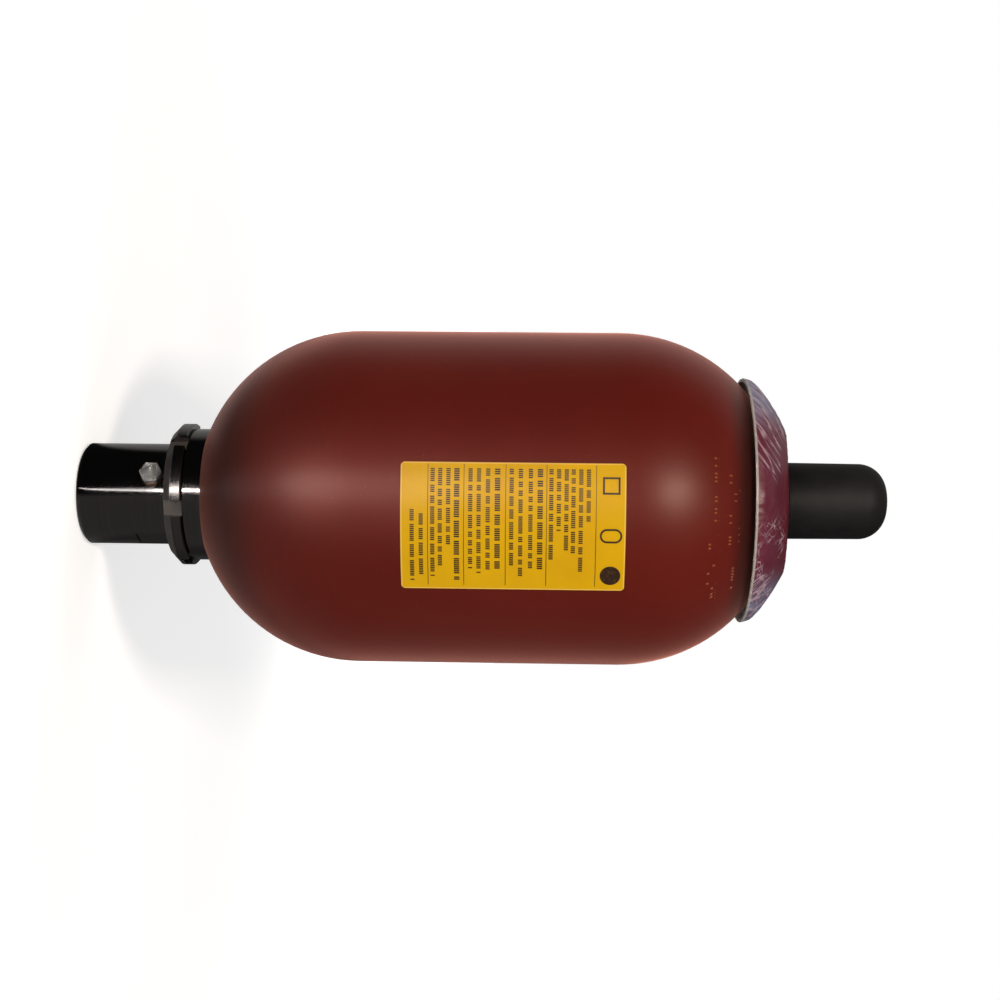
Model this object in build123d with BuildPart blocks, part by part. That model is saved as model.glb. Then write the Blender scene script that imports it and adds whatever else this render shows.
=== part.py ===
from build123d import *
import os
from math import cos, pi, radians, sin, sqrt

# Bladder accumulator of the four-litre size, for hydraulic circuits up to 330 bar.
# Millimetres. +Z runs along the vessel's axis and z = 0 is the end face of the fluid port,
# on which the vessel stands. The gas valve and its rubber cap are at the top.
# Angles are in degrees about +Z, counted from +X. The label faces about -Y.

os.makedirs("parts", exist_ok=True)

# ---------------------------------------------------------------- driving dimensions

# pressure vessel
shell_radius = 85.0
shell_wall = 8.5
shell_cylinder_length = 131.0
port_length = 65.0
fluid_land_radius = 34.0
gas_land_radius = 22.4
shell_bore_radius = 30.0
fluid_neck_depth = 18.0
gas_neck_depth = 15.0
neck_edge = 0.5

# oil valve body: the screwed-in end with the port
body_radius = 26.0
body_end_chamfer = 2.0
shank_radius = 25.0
body_thread_radius = 27.5
body_thread_above_seat = 3.0
flange_height = 7.0
port_thread_radius = 19.475
port_thread_depth = 22.0
port_entry_chamfer = 1.5
port_relief_radius = 21.3
port_relief_width = 3.0
flow_radius = 19.0
seat_radius = 25.0
flat_across = 50.0
flat_length = 18.0

# stem guide inside the oil valve body
guide_above_nut = 1.5
guide_web_height = 8.0
guide_hub_radius = 10.0
guide_hub_rise = 2.0
guide_hub_drop = 4.0
guide_arm_count = 3
guide_arm_width = 7.0
damper_radius = 7.1
damper_depth = 4.0

# poppet: valve plate with its stem, sleeve, nut and spring
poppet_lift = 8.0
stem_radius = 5.0
plate_edge_height = 1.5
plate_crown_height = 1.5
sleeve_collar_radius = 9.0
sleeve_collar_height = 2.0
poppet_nut_across = 17.0
poppet_nut_height = 7.0
stem_tip = 1.5
poppet_spring_wire = 2.0
poppet_spring_turns = 6.5

# ring that holds the oil valve in the shell, and the seal stack below it
ring_height = 10.0
ring_steel_radius = 40.0
ring_cover_wall = 3.0
ring_split = 3.0
washer_height = 2.0
support_ring_height = 2.5
spacer_height = 9.1
spacer_radius = 33.9
port_nut_height = 9.4
port_nut_radius = 36.5
port_nut_chamfer = 4.0
notch_count = 6
notch_width = 8.0
notch_depth = 4.6
notch_angle = -78.0

# vent screw in the side of the oil valve body
vent_angle = -113.0
vent_below_nut = 8.3
vent_thread_radius = 3.0
vent_thread_depth = 3.4
vent_channel_radius = 1.5
vent_face_radius = 7.0
vent_face_depth = 3.0
vent_seal_radius = 6.0
vent_seal_height = 1.0
vent_head_across = 10.0
vent_head_height = 4.0
vent_dimple_radius = 1.4
vent_dimple_depth = 0.8

# bladder and its gas valve stem
bladder_gap = 3.5
bladder_wall = 3.0
bladder_clear_of_poppet = 5.0
bladder_lip = 3.0
bladder_lip_depth = 2.0
stem_flange_radius = 24.0
stem_flange_height = 4.0
gas_stem_radius = 11.1
gas_stem_stub = 2.9
gas_neck_radius = 8.0
gas_neck_height = 21.0
gas_bore_radius = 2.5

# valve core in the gas stem
core_radius = 4.0
core_length = 12.0
core_cavity_depth = 7.0
core_hole_radius = 1.5
core_spring_room_radius = 3.0
core_spring_room_depth = 7.0
pin_radius = 1.0
pin_proud = 1.0
pin_collar_radius = 2.4
pin_collar_height = 1.0
pin_collar_below_top = 1.0
core_seal_radius = 2.8
core_seal_height = 1.5
pin_head_radius = 2.2
pin_head_height = 1.0
core_spring_wire = 0.5
core_spring_turns = 4.5

# dished data plate under the stem nut, with its protective film
plate_thickness = 1.2
plate_shoulder_radius = 60.0
plate_shoulder_gap = 5.4
plate_skirt_width = 2.2
plate_skirt_height = 4.2
plate_middle_gap = 1.6
film_thickness = 0.6
film_slack = 2.6
film_collar_height = 1.5
film_hole_gap = 0.9

# nuts and caps on the gas stem
stem_nut_across = 30.0
stem_nut_height = 9.0
cap_nut_across = 24.0
cap_nut_top_wall = 4.0
cap_nut_air = 1.0
cap_seal_section = 2.0
rubber_cap_wall = 2.0
rubber_cap_end_wall = 3.2
rubber_cap_head_room = 11.5
rubber_cap_taper = 0.4
rubber_cap_corner = 13.8
rubber_cap_mouth_edge = 0.6
nut_corner_share = 0.12

# label on the cylinder, with rows of plain bars and three plain signs as its print
label_angle = -80.3
label_length = 104.0
label_arc = 61.0
label_thickness = 0.15
label_corner = 2.0
label_edge_margin = 0.1
print_thickness = 0.12
print_strip_heights = [12.65, 16.65, 19.3, 18.9, 22.8]
print_row_counts = [2, 4, 4, 4, 6]
print_row_shares = [
    0.60, 0.54, 0.85, 0.76, 0.60, 0.89, 0.79, 0.83, 0.79, 0.78,
    0.77, 0.83, 0.79, 0.79, 0.72, 0.48, 0.62, 0.67, 0.82, 0.39,
]
print_rule_width = 0.7
print_row_inset = 0.9
print_bar_share = 0.45
print_side_margin = 2.6
sign_places = [0.17, 0.55, 0.87]
sign_square = 8.0
sign_capsule_length = 9.6
sign_capsule_width = 6.0
sign_disc_radius = 4.8
sign_line = 0.9

# clearances
running_gap = 0.05
loose_gap = 0.2
seal_gap = 0.1
stop_gap = 0.05
glue_gap = 0.02
label_gap = 0.08
flange_gap = 0.5
ring_gap = 0.3
cap_gap = 0.28
seat_gap = 0.1
plate_hole_gap = 0.2

# ---------------------------------------------------------------- derived sizes

inner_radius = shell_radius - shell_wall

# heights of the vessel
dome_low_z = port_length + sqrt(shell_radius**2 - fluid_land_radius**2)
dome_high_z = dome_low_z + shell_cylinder_length
gas_face_z = dome_high_z + sqrt(shell_radius**2 - gas_land_radius**2)
seat_face_z = port_length + fluid_neck_depth
gas_inner_z = gas_face_z - gas_neck_depth
fluid_neck_inner_radius = sqrt(inner_radius**2 - (dome_low_z - seat_face_z) ** 2)
gas_neck_inner_radius = sqrt(inner_radius**2 - (gas_inner_z - dome_high_z) ** 2)
gas_hole_radius = gas_stem_radius + loose_gap

# heights of the fluid side, from the nut up and down
port_nut_top = port_length - spacer_height
port_nut_low = port_nut_top - port_nut_height
body_thread_low = port_nut_low + stop_gap
body_thread_top = port_length - body_thread_above_seat
flange_low = seat_face_z + ring_height
flange_top = flange_low + flange_height
seat_depth = seat_radius - flow_radius
guide_low = port_nut_low + guide_above_nut
guide_top = guide_low + guide_web_height
hub_low = guide_low - guide_hub_drop
hub_top = guide_top + guide_hub_rise
vent_height = port_nut_low - vent_below_nut

# heights of the poppet in its open place, where it rests
poppet_low = flange_top - seat_depth + poppet_lift
poppet_cone_top = poppet_low + seat_depth
poppet_edge_top = poppet_cone_top + plate_edge_height
poppet_top = poppet_edge_top + plate_crown_height
collar_top = hub_low - stop_gap
collar_low = collar_top - sleeve_collar_height
poppet_nut_low = collar_low - poppet_nut_height
stem_low = poppet_nut_low - stem_tip

# heights of the gas side
plate_top = gas_face_z + plate_thickness
stem_nut_top = plate_top + stem_nut_height
gas_shoulder_z = stem_nut_top + gas_stem_stub
gas_neck_top = gas_shoulder_z + gas_neck_height
core_low = gas_neck_top - core_length
core_cavity_low = core_low - core_cavity_depth
core_spring_low = gas_neck_top - core_spring_room_depth
pin_collar_top = gas_neck_top - pin_collar_below_top
pin_collar_low = pin_collar_top - pin_collar_height
pin_top = gas_neck_top + pin_proud
core_seal_top = core_low - seal_gap
core_seal_low = core_seal_top - core_seal_height
pin_low = core_seal_low - pin_head_height
stem_flange_top = gas_inner_z - bladder_wall
stem_flange_low = stem_flange_top - stem_flange_height
cap_nut_low = gas_shoulder_z + stop_gap
cap_nut_inner_top = pin_top + cap_nut_air
cap_nut_top = cap_nut_inner_top + cap_nut_top_wall
rubber_cap_low = plate_top + film_collar_height + stop_gap
rubber_cap_inner_top = cap_nut_top + rubber_cap_head_room
rubber_cap_top = rubber_cap_inner_top + rubber_cap_end_wall

# radii that follow from their neighbours
seal_section_radius = (shell_bore_radius - shank_radius) / 2 - seal_gap
seal_centre_radius = (shell_bore_radius + shank_radius) / 2
washer_low = seat_face_z - washer_height
seal_centre_z = washer_low - seal_section_radius
support_ring_top = seal_centre_z - seal_section_radius
support_ring_low = support_ring_top - support_ring_height
stem_nut_corner = stem_nut_across / sqrt(3)
cap_nut_corner = cap_nut_across / sqrt(3)
rubber_cap_inner_radius = max(stem_nut_corner, cap_nut_corner) + cap_gap
rubber_cap_mouth_radius = rubber_cap_inner_radius + rubber_cap_wall
rubber_cap_tip_radius = rubber_cap_mouth_radius - rubber_cap_taper
cap_seal_radius = cap_seal_section / 2
cap_seal_centre_radius = gas_neck_radius + seal_gap + cap_seal_radius
bladder_radius = inner_radius - bladder_gap
label_inner_radius = shell_radius + label_gap
label_outer_radius = label_inner_radius + label_thickness
label_high_z = dome_high_z - label_edge_margin
label_low_z = label_high_z - label_length


def on_dome(centre_z, radius, angle):
    """Return the (r, z) point of a dome's section at an angle above its centre."""
    return (radius * cos(radians(angle)), centre_z + radius * sin(radians(angle)))


def height_on_dome(centre_z, radius, distance):
    """Return the height of an upper dome at a distance from the axis."""
    return centre_z + sqrt(radius**2 - distance**2)


def arc_middle(start, end, centre):
    """Return the point midway along the arc from start to end about centre."""
    middle = Vector(start) + Vector(end) - Vector(centre) - Vector(centre)
    radius = (Vector(start) - Vector(centre)).length
    return Vector(centre) + middle.normalized() * radius


def section_plane(angle):
    """Return the upright plane through the axis at an angle: local x is outward, y is up."""
    across = (sin(radians(angle)), -cos(radians(angle)), 0)
    return Plane(origin=(0, 0, 0), x_dir=(cos(radians(angle)), sin(radians(angle)), 0), z_dir=across)


def ring_sketch(height, inner, outer):
    """Return a flat ring at a height, ready to be extruded."""
    with BuildSketch(Plane.XY.offset(height)) as flat_ring:
        Circle(outer)
        Circle(inner, mode=Mode.SUBTRACT)
    return flat_ring.sketch


def nut_sketch(height, hole_radius, across):
    """Return a hexagonal nut's plan at a height, by its size across the flats."""
    with BuildSketch(Plane.XY.offset(height)) as nut_plan:
        RegularPolygon(across / sqrt(3), 6)
        Circle(hole_radius, mode=Mode.SUBTRACT)
    return nut_plan.sketch


def nut_envelope(low, top, across):
    """Return the chamfered round section that trims a nut's corners, for an intersection."""
    corner = across / sqrt(3)
    cut = nut_corner_share * across / 2
    with BuildSketch(Plane.XZ) as envelope:
        with BuildLine():
            Polyline((0, low), (across / 2 - stop_gap, low), (corner, low + cut),
                     (corner, top - cut), (across / 2 - stop_gap, top), (0, top), close=True)
        make_face()
    return envelope.sketch


# ---------------------------------------------------------------- pressure vessel

low_centre = (0, dome_low_z)
high_centre = (0, dome_high_z)

with BuildPart() as shell:
    with BuildSketch(Plane.XZ):
        with BuildLine():
            Polyline((shell_bore_radius, seat_face_z), (shell_bore_radius, port_length),
                     (fluid_land_radius, port_length))
            ThreePointArc((fluid_land_radius, port_length),
                          arc_middle((fluid_land_radius, port_length), (shell_radius, dome_low_z),
                                     low_centre),
                          (shell_radius, dome_low_z))
            Line((shell_radius, dome_low_z), (shell_radius, dome_high_z))
            ThreePointArc((shell_radius, dome_high_z),
                          arc_middle((shell_radius, dome_high_z), (gas_land_radius, gas_face_z),
                                     high_centre),
                          (gas_land_radius, gas_face_z))
            Polyline((gas_land_radius, gas_face_z), (gas_hole_radius, gas_face_z),
                     (gas_hole_radius, gas_inner_z), (gas_neck_inner_radius, gas_inner_z))
            ThreePointArc((gas_neck_inner_radius, gas_inner_z),
                          arc_middle((gas_neck_inner_radius, gas_inner_z), (inner_radius, dome_high_z),
                                     high_centre),
                          (inner_radius, dome_high_z))
            Line((inner_radius, dome_high_z), (inner_radius, dome_low_z))
            ThreePointArc((inner_radius, dome_low_z),
                          arc_middle((inner_radius, dome_low_z), (fluid_neck_inner_radius, seat_face_z),
                                     low_centre),
                          (fluid_neck_inner_radius, seat_face_z))
            Line((fluid_neck_inner_radius, seat_face_z), (shell_bore_radius, seat_face_z))
        make_face()
    revolve(axis=Axis.Z)
    bore_edges = shell.edges().filter_by(GeomType.CIRCLE).group_by(Axis.Z)
    chamfer(bore_edges[0].sort_by(SortBy.RADIUS)[0], length=neck_edge)
shell.part.label = "shell"

# ---------------------------------------------------------------- oil valve body

vent_outward = (cos(radians(vent_angle)), sin(radians(vent_angle)), 0)
vent_axis_plane = Plane(origin=(0, 0, vent_height), x_dir=(0, 0, 1), z_dir=vent_outward)
vent_floor = body_radius - vent_face_depth
flange_radius = shell_bore_radius - flange_gap

with BuildPart() as oil_valve_body:
    with BuildSketch(Plane.XZ):
        with BuildLine():
            Polyline((port_thread_radius + port_entry_chamfer, 0), (body_radius - body_end_chamfer, 0),
                     (body_radius, body_end_chamfer), (body_radius, body_thread_low),
                     (body_thread_radius, body_thread_low), (body_thread_radius, body_thread_top),
                     (shank_radius, body_thread_top), (shank_radius, flange_low),
                     (flange_radius, flange_low), (flange_radius, flange_top),
                     (seat_radius, flange_top), (flow_radius, flange_top - seat_depth),
                     (flow_radius, guide_top), (stem_radius + running_gap, guide_top),
                     (stem_radius + running_gap, guide_low), (flow_radius, guide_low),
                     (flow_radius, port_thread_depth + port_relief_width),
                     (port_relief_radius, port_thread_depth + port_relief_width),
                     (port_relief_radius, port_thread_depth), (port_thread_radius, port_thread_depth),
                     (port_thread_radius, port_entry_chamfer), close=True)
        make_face()
    revolve(axis=Axis.Z)
    extrude(ring_sketch(hub_low, stem_radius + running_gap, guide_hub_radius), amount=hub_top - hub_low)
    extrude(ring_sketch(hub_low, stem_radius, damper_radius), amount=damper_depth, mode=Mode.SUBTRACT)
    with BuildSketch(Plane.XY.offset(guide_low)):
        Circle(flow_radius)
        Circle(guide_hub_radius, mode=Mode.SUBTRACT)
        with PolarLocations(flow_radius, guide_arm_count, start_angle=vent_angle + 180 / guide_arm_count):
            Rectangle(2 * flow_radius, guide_arm_width, mode=Mode.SUBTRACT)
    extrude(amount=guide_web_height, mode=Mode.SUBTRACT)
    with BuildSketch(Plane.XY.offset(port_nut_low - flat_length)):
        with PolarLocations(flat_across / 2 + body_radius / 2, 2, start_angle=vent_angle + 90):
            Rectangle(body_radius, 2 * body_radius)
    extrude(amount=body_thread_low - port_nut_low + flat_length, mode=Mode.SUBTRACT)
    with BuildSketch(vent_axis_plane.offset(vent_floor)):
        Circle(vent_face_radius)
    extrude(amount=2 * vent_face_depth, mode=Mode.SUBTRACT)
    with BuildSketch(vent_axis_plane.offset(vent_floor)):
        Circle(vent_thread_radius + running_gap)
    extrude(amount=-vent_thread_depth - seal_gap, mode=Mode.SUBTRACT)
    with BuildSketch(vent_axis_plane.offset(flow_radius - vent_channel_radius)):
        Circle(vent_channel_radius)
    extrude(amount=vent_floor - flow_radius + vent_channel_radius, mode=Mode.SUBTRACT)
oil_valve_body.part.label = "oil_valve_body"

# ---------------------------------------------------------------- poppet

plate_edge_radius = seat_radius - seat_gap
crown_radius = (plate_edge_radius**2 + plate_crown_height**2) / (2 * plate_crown_height)

with BuildPart() as valve_plate:
    with BuildSketch(Plane.XZ):
        with BuildLine():
            Polyline((0, poppet_top), (0, stem_low), (stem_radius - seal_gap, stem_low),
                     (stem_radius, stem_low + seal_gap), (stem_radius, poppet_low),
                     (flow_radius - seat_gap, poppet_low), (plate_edge_radius, poppet_cone_top),
                     (plate_edge_radius, poppet_edge_top))
            RadiusArc((plate_edge_radius, poppet_edge_top), (0, poppet_top), -crown_radius)
        make_face()
    revolve(axis=Axis.Z)
valve_plate.part.label = "valve_plate"

with BuildPart() as damping_sleeve:
    extrude(ring_sketch(collar_low, stem_radius + running_gap, sleeve_collar_radius),
            amount=sleeve_collar_height)
    extrude(ring_sketch(collar_top, stem_radius + running_gap, damper_radius - running_gap),
            amount=damper_depth - 2 * stop_gap)
damping_sleeve.part.label = "damping_sleeve"

with BuildPart() as poppet_lock_nut:
    extrude(nut_sketch(poppet_nut_low, stem_radius + running_gap, poppet_nut_across),
            amount=poppet_nut_height)
    revolve(nut_envelope(poppet_nut_low, collar_low, poppet_nut_across), axis=Axis.Z, mode=Mode.INTERSECT)
poppet_lock_nut.part.label = "poppet_lock_nut"

poppet_spring_radius = stem_radius + ring_gap + poppet_spring_wire / 2 + loose_gap
poppet_spring_length = poppet_low - hub_top

with BuildPart() as poppet_spring:
    with BuildLine() as spring_path:
        Helix(pitch=poppet_spring_length / poppet_spring_turns, height=poppet_spring_length,
              radius=poppet_spring_radius, center=(0, 0, hub_top))
    with BuildSketch(Plane(origin=spring_path.line @ 0, z_dir=spring_path.line % 0)):
        Circle(poppet_spring_wire / 2)
    sweep()
    with BuildSketch(Plane.XY.offset(hub_top + glue_gap)):
        Circle(2 * poppet_spring_radius)
    extrude(amount=poppet_spring_length - 2 * glue_gap, mode=Mode.INTERSECT)
poppet_spring.part.label = "poppet_spring"

# ---------------------------------------------------------------- ring and seals of the oil valve

ring_inner_radius = shank_radius + ring_gap
ring_cover_radius = ring_steel_radius + ring_cover_wall

with BuildPart() as retaining_ring_halves:
    extrude(ring_sketch(seat_face_z, ring_inner_radius, ring_steel_radius), amount=ring_height)
    with BuildSketch(Plane.XY.offset(seat_face_z)):
        Rectangle(2 * ring_cover_radius, ring_split)
    extrude(amount=ring_height, mode=Mode.SUBTRACT)
retaining_ring_halves.part.label = "retaining_ring_halves"

with BuildPart() as retaining_ring_rubber:
    extrude(ring_sketch(seat_face_z, ring_steel_radius, ring_cover_radius), amount=ring_height)
    web_length = ring_steel_radius + ring_cover_wall / 2 - ring_inner_radius
    with BuildSketch(Plane.XY.offset(seat_face_z)):
        with PolarLocations(ring_inner_radius + web_length / 2, 2):
            Rectangle(web_length, ring_split)
    extrude(amount=ring_height)
retaining_ring_rubber.part.label = "retaining_ring_rubber"

with BuildPart() as seal_washer:
    extrude(ring_sketch(washer_low, shank_radius + seal_gap, shell_bore_radius - seal_gap),
            amount=washer_height)
seal_washer.part.label = "seal_washer"

with BuildPart() as port_o_ring:
    with Locations((0, 0, seal_centre_z)):
        Torus(seal_centre_radius, seal_section_radius)
port_o_ring.part.label = "port_o_ring"

with BuildPart() as support_ring:
    extrude(ring_sketch(support_ring_low, shank_radius + seal_gap, shell_bore_radius - seal_gap),
            amount=support_ring_height)
support_ring.part.label = "support_ring"

with BuildPart() as spacer_ring:
    extrude(ring_sketch(port_nut_top, body_thread_radius + seal_gap, spacer_radius), amount=spacer_height)
    extrude(ring_sketch(port_length, body_thread_radius + seal_gap, shell_bore_radius - seal_gap),
            amount=support_ring_low - port_length)
    chamfer(spacer_ring.edges().group_by(Axis.Z)[0].sort_by(SortBy.RADIUS)[-1], length=neck_edge)
spacer_ring.part.label = "spacer_ring"

with BuildPart() as port_lock_nut:
    extrude(ring_sketch(port_nut_low, body_thread_radius + running_gap, port_nut_radius),
            amount=port_nut_height)
    chamfer(port_lock_nut.edges().group_by(Axis.Z)[0].sort_by(SortBy.RADIUS)[-1], length=port_nut_chamfer)
    chamfer(port_lock_nut.edges().group_by(Axis.Z)[-1].sort_by(SortBy.RADIUS)[-1], length=neck_edge)
    with BuildSketch(Plane.XY.offset(port_nut_low)):
        with PolarLocations(port_nut_radius, notch_count, start_angle=notch_angle):
            Rectangle(2 * notch_depth, notch_width)
    extrude(amount=port_nut_height, mode=Mode.SUBTRACT)
port_lock_nut.part.label = "port_lock_nut"

# ---------------------------------------------------------------- vent screw

vent_head_low = vent_floor + vent_seal_height + glue_gap

with BuildPart() as vent_seal_ring:
    with BuildSketch(vent_axis_plane.offset(vent_floor + glue_gap)):
        Circle(vent_seal_radius)
        Circle(vent_thread_radius + seal_gap, mode=Mode.SUBTRACT)
    extrude(amount=vent_seal_height - glue_gap)
vent_seal_ring.part.label = "vent_seal_ring"

with BuildPart() as vent_screw:
    with BuildSketch(vent_axis_plane.offset(vent_head_low)):
        RegularPolygon(vent_head_across / sqrt(3), 6)
    extrude(amount=vent_head_height)
    with BuildSketch(vent_axis_plane.offset(vent_head_low)):
        Circle(vent_thread_radius)
    extrude(amount=-vent_thread_depth)
    with BuildSketch(vent_axis_plane.offset(vent_head_low + vent_head_height)):
        Circle(vent_dimple_radius)
    extrude(amount=-vent_dimple_depth, mode=Mode.SUBTRACT)
vent_screw.part.label = "vent_screw"

# ---------------------------------------------------------------- bladder and gas stem

bladder_low_z = poppet_top + bladder_clear_of_poppet + bladder_radius
bladder_inner_radius = bladder_radius - bladder_wall
lip_low_z = stem_flange_low - bladder_lip_depth
lip_inner_radius = stem_flange_radius - bladder_lip
bladder_hole_radius = gas_stem_radius + seal_gap
bladder_top_radius = sqrt(bladder_radius**2 - (gas_inner_z - dome_high_z) ** 2)
bladder_roof_radius = sqrt(bladder_inner_radius**2 - (lip_low_z - dome_high_z) ** 2)

with BuildPart() as bladder:
    with BuildSketch(Plane.XZ):
        with BuildLine():
            Line((bladder_hole_radius, gas_inner_z), (bladder_top_radius, gas_inner_z))
            ThreePointArc((bladder_top_radius, gas_inner_z),
                          arc_middle((bladder_top_radius, gas_inner_z), (bladder_radius, dome_high_z),
                                     high_centre),
                          (bladder_radius, dome_high_z))
            Line((bladder_radius, dome_high_z), (bladder_radius, bladder_low_z))
            ThreePointArc((bladder_radius, bladder_low_z), on_dome(bladder_low_z, bladder_radius, -45),
                          (0, bladder_low_z - bladder_radius))
            Line((0, bladder_low_z - bladder_radius), (0, bladder_low_z - bladder_inner_radius))
            ThreePointArc((0, bladder_low_z - bladder_inner_radius),
                          on_dome(bladder_low_z, bladder_inner_radius, -45),
                          (bladder_inner_radius, bladder_low_z))
            Line((bladder_inner_radius, bladder_low_z), (bladder_inner_radius, dome_high_z))
            ThreePointArc((bladder_inner_radius, dome_high_z),
                          arc_middle((bladder_inner_radius, dome_high_z), (bladder_roof_radius, lip_low_z),
                                     high_centre),
                          (bladder_roof_radius, lip_low_z))
            Polyline((bladder_roof_radius, lip_low_z), (lip_inner_radius, lip_low_z),
                     (lip_inner_radius, stem_flange_low - glue_gap),
                     (stem_flange_radius + seal_gap, stem_flange_low - glue_gap),
                     (stem_flange_radius + seal_gap, stem_flange_top + glue_gap),
                     (bladder_hole_radius, stem_flange_top + glue_gap),
                     (bladder_hole_radius, gas_inner_z))
        make_face()
    revolve(axis=Axis.Z)
bladder.part.label = "bladder"

with BuildPart() as gas_valve_stem:
    with BuildSketch(Plane.XZ):
        with BuildLine():
            Polyline((gas_bore_radius, stem_flange_low), (stem_flange_radius, stem_flange_low),
                     (stem_flange_radius, stem_flange_top), (gas_stem_radius, stem_flange_top),
                     (gas_stem_radius, gas_shoulder_z), (gas_neck_radius, gas_shoulder_z),
                     (gas_neck_radius, gas_neck_top - neck_edge),
                     (gas_neck_radius - neck_edge, gas_neck_top),
                     (core_radius + running_gap, gas_neck_top),
                     (core_radius + running_gap, core_cavity_low),
                     (gas_bore_radius, core_cavity_low), close=True)
        make_face()
    revolve(axis=Axis.Z)
gas_valve_stem.part.label = "gas_valve_stem"

# ---------------------------------------------------------------- valve core

with BuildPart() as valve_core_body:
    extrude(ring_sketch(core_low, core_hole_radius, core_radius), amount=core_length)
    with BuildSketch(Plane.XY.offset(core_spring_low)):
        Circle(core_spring_room_radius)
    extrude(amount=core_spring_room_depth, mode=Mode.SUBTRACT)
valve_core_body.part.label = "valve_core_body"

with BuildPart() as valve_core_pin:
    with BuildSketch(Plane.XZ):
        with BuildLine():
            Polyline((0, pin_low), (pin_head_radius, pin_low), (pin_head_radius, core_seal_low),
                     (pin_radius, core_seal_low), (pin_radius, pin_collar_low),
                     (pin_collar_radius, pin_collar_low), (pin_collar_radius, pin_collar_top),
                     (pin_radius, pin_collar_top), (pin_radius, pin_top), (0, pin_top), close=True)
        make_face()
    revolve(axis=Axis.Z)
valve_core_pin.part.label = "valve_core_pin"

with BuildPart() as valve_core_seal:
    extrude(ring_sketch(core_seal_low + glue_gap, pin_radius + glue_gap, core_seal_radius),
            amount=core_seal_height - glue_gap)
valve_core_seal.part.label = "valve_core_seal"

core_spring_radius = (pin_radius + core_spring_room_radius) / 2
core_spring_length = pin_collar_low - core_spring_low

with BuildPart() as valve_core_spring:
    with BuildLine() as core_path:
        Helix(pitch=core_spring_length / core_spring_turns, height=core_spring_length,
              radius=core_spring_radius, center=(0, 0, core_spring_low))
    with BuildSketch(Plane(origin=core_path.line @ 0, z_dir=core_path.line % 0)):
        Circle(core_spring_wire / 2)
    sweep()
    with BuildSketch(Plane.XY.offset(core_spring_low + glue_gap)):
        Circle(2 * core_spring_radius)
    extrude(amount=core_spring_length - 2 * glue_gap, mode=Mode.INTERSECT)
valve_core_spring.part.label = "valve_core_spring"

# ---------------------------------------------------------------- data plate and film

plate_hole_radius = gas_stem_radius + plate_hole_gap
plate_flat_radius = gas_land_radius + seat_gap
shoulder_under_z = height_on_dome(dome_high_z, shell_radius, plate_shoulder_radius) + plate_shoulder_gap
shoulder_z = shoulder_under_z + plate_thickness
plate_rim_radius = plate_shoulder_radius + plate_skirt_width
plate_rim_z = shoulder_z - plate_skirt_height
plate_middle_radius = (plate_flat_radius + plate_shoulder_radius) / 2
middle_under_z = height_on_dome(dome_high_z, shell_radius, plate_middle_radius) + plate_middle_gap
middle_z = middle_under_z + plate_thickness

with BuildPart() as data_plate:
    with BuildSketch(Plane.XZ):
        with BuildLine():
            Polyline((plate_hole_radius, gas_face_z), (plate_hole_radius, plate_top),
                     (plate_flat_radius, plate_top))
            ThreePointArc((plate_flat_radius, plate_top), (plate_middle_radius, middle_z),
                          (plate_shoulder_radius, shoulder_z))
            Polyline((plate_shoulder_radius, shoulder_z), (plate_rim_radius, plate_rim_z),
                     (plate_rim_radius - plate_thickness, plate_rim_z),
                     (plate_shoulder_radius - plate_thickness, shoulder_under_z))
            ThreePointArc((plate_shoulder_radius - plate_thickness, shoulder_under_z),
                          (plate_middle_radius, middle_under_z), (plate_flat_radius, gas_face_z))
            Line((plate_flat_radius, gas_face_z), (plate_hole_radius, gas_face_z))
        make_face()
    revolve(axis=Axis.Z)
data_plate.part.label = "data_plate"

film_hole_radius = stem_nut_corner + film_hole_gap
film_top = plate_top + film_collar_height
film_under_z = middle_z + film_slack
film_shoulder_radius = plate_shoulder_radius + seal_gap
film_rim_radius = plate_rim_radius + seal_gap

with BuildPart() as protective_film:
    with BuildSketch(Plane.XZ):
        with BuildLine():
            Polyline((film_hole_radius, plate_top + glue_gap), (film_hole_radius, film_top),
                     (plate_flat_radius, film_top))
            ThreePointArc((plate_flat_radius, film_top),
                          (plate_middle_radius, film_under_z + film_thickness),
                          (film_shoulder_radius + film_thickness, shoulder_z + film_thickness / 2))
            Polyline((film_shoulder_radius + film_thickness, shoulder_z + film_thickness / 2),
                     (film_rim_radius + film_thickness, plate_rim_z), (film_rim_radius, plate_rim_z),
                     (film_shoulder_radius, shoulder_z + seal_gap))
            ThreePointArc((film_shoulder_radius, shoulder_z + seal_gap),
                          (plate_middle_radius, film_under_z),
                          (plate_flat_radius, plate_top + glue_gap))
            Line((plate_flat_radius, plate_top + glue_gap), (film_hole_radius, plate_top + glue_gap))
        make_face()
    revolve(axis=Axis.Z)
protective_film.part.label = "protective_film"

# ---------------------------------------------------------------- nuts and caps of the gas side

with BuildPart() as stem_lock_nut:
    extrude(nut_sketch(plate_top, gas_stem_radius + running_gap, stem_nut_across), amount=stem_nut_height)
    revolve(nut_envelope(plate_top, stem_nut_top, stem_nut_across), axis=Axis.Z, mode=Mode.INTERSECT)
stem_lock_nut.part.label = "stem_lock_nut"

with BuildPart() as cap_seal_ring:
    with Locations((0, 0, gas_shoulder_z + cap_seal_radius + glue_gap)):
        Torus(cap_seal_centre_radius, cap_seal_radius)
cap_seal_ring.part.label = "cap_seal_ring"

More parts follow.
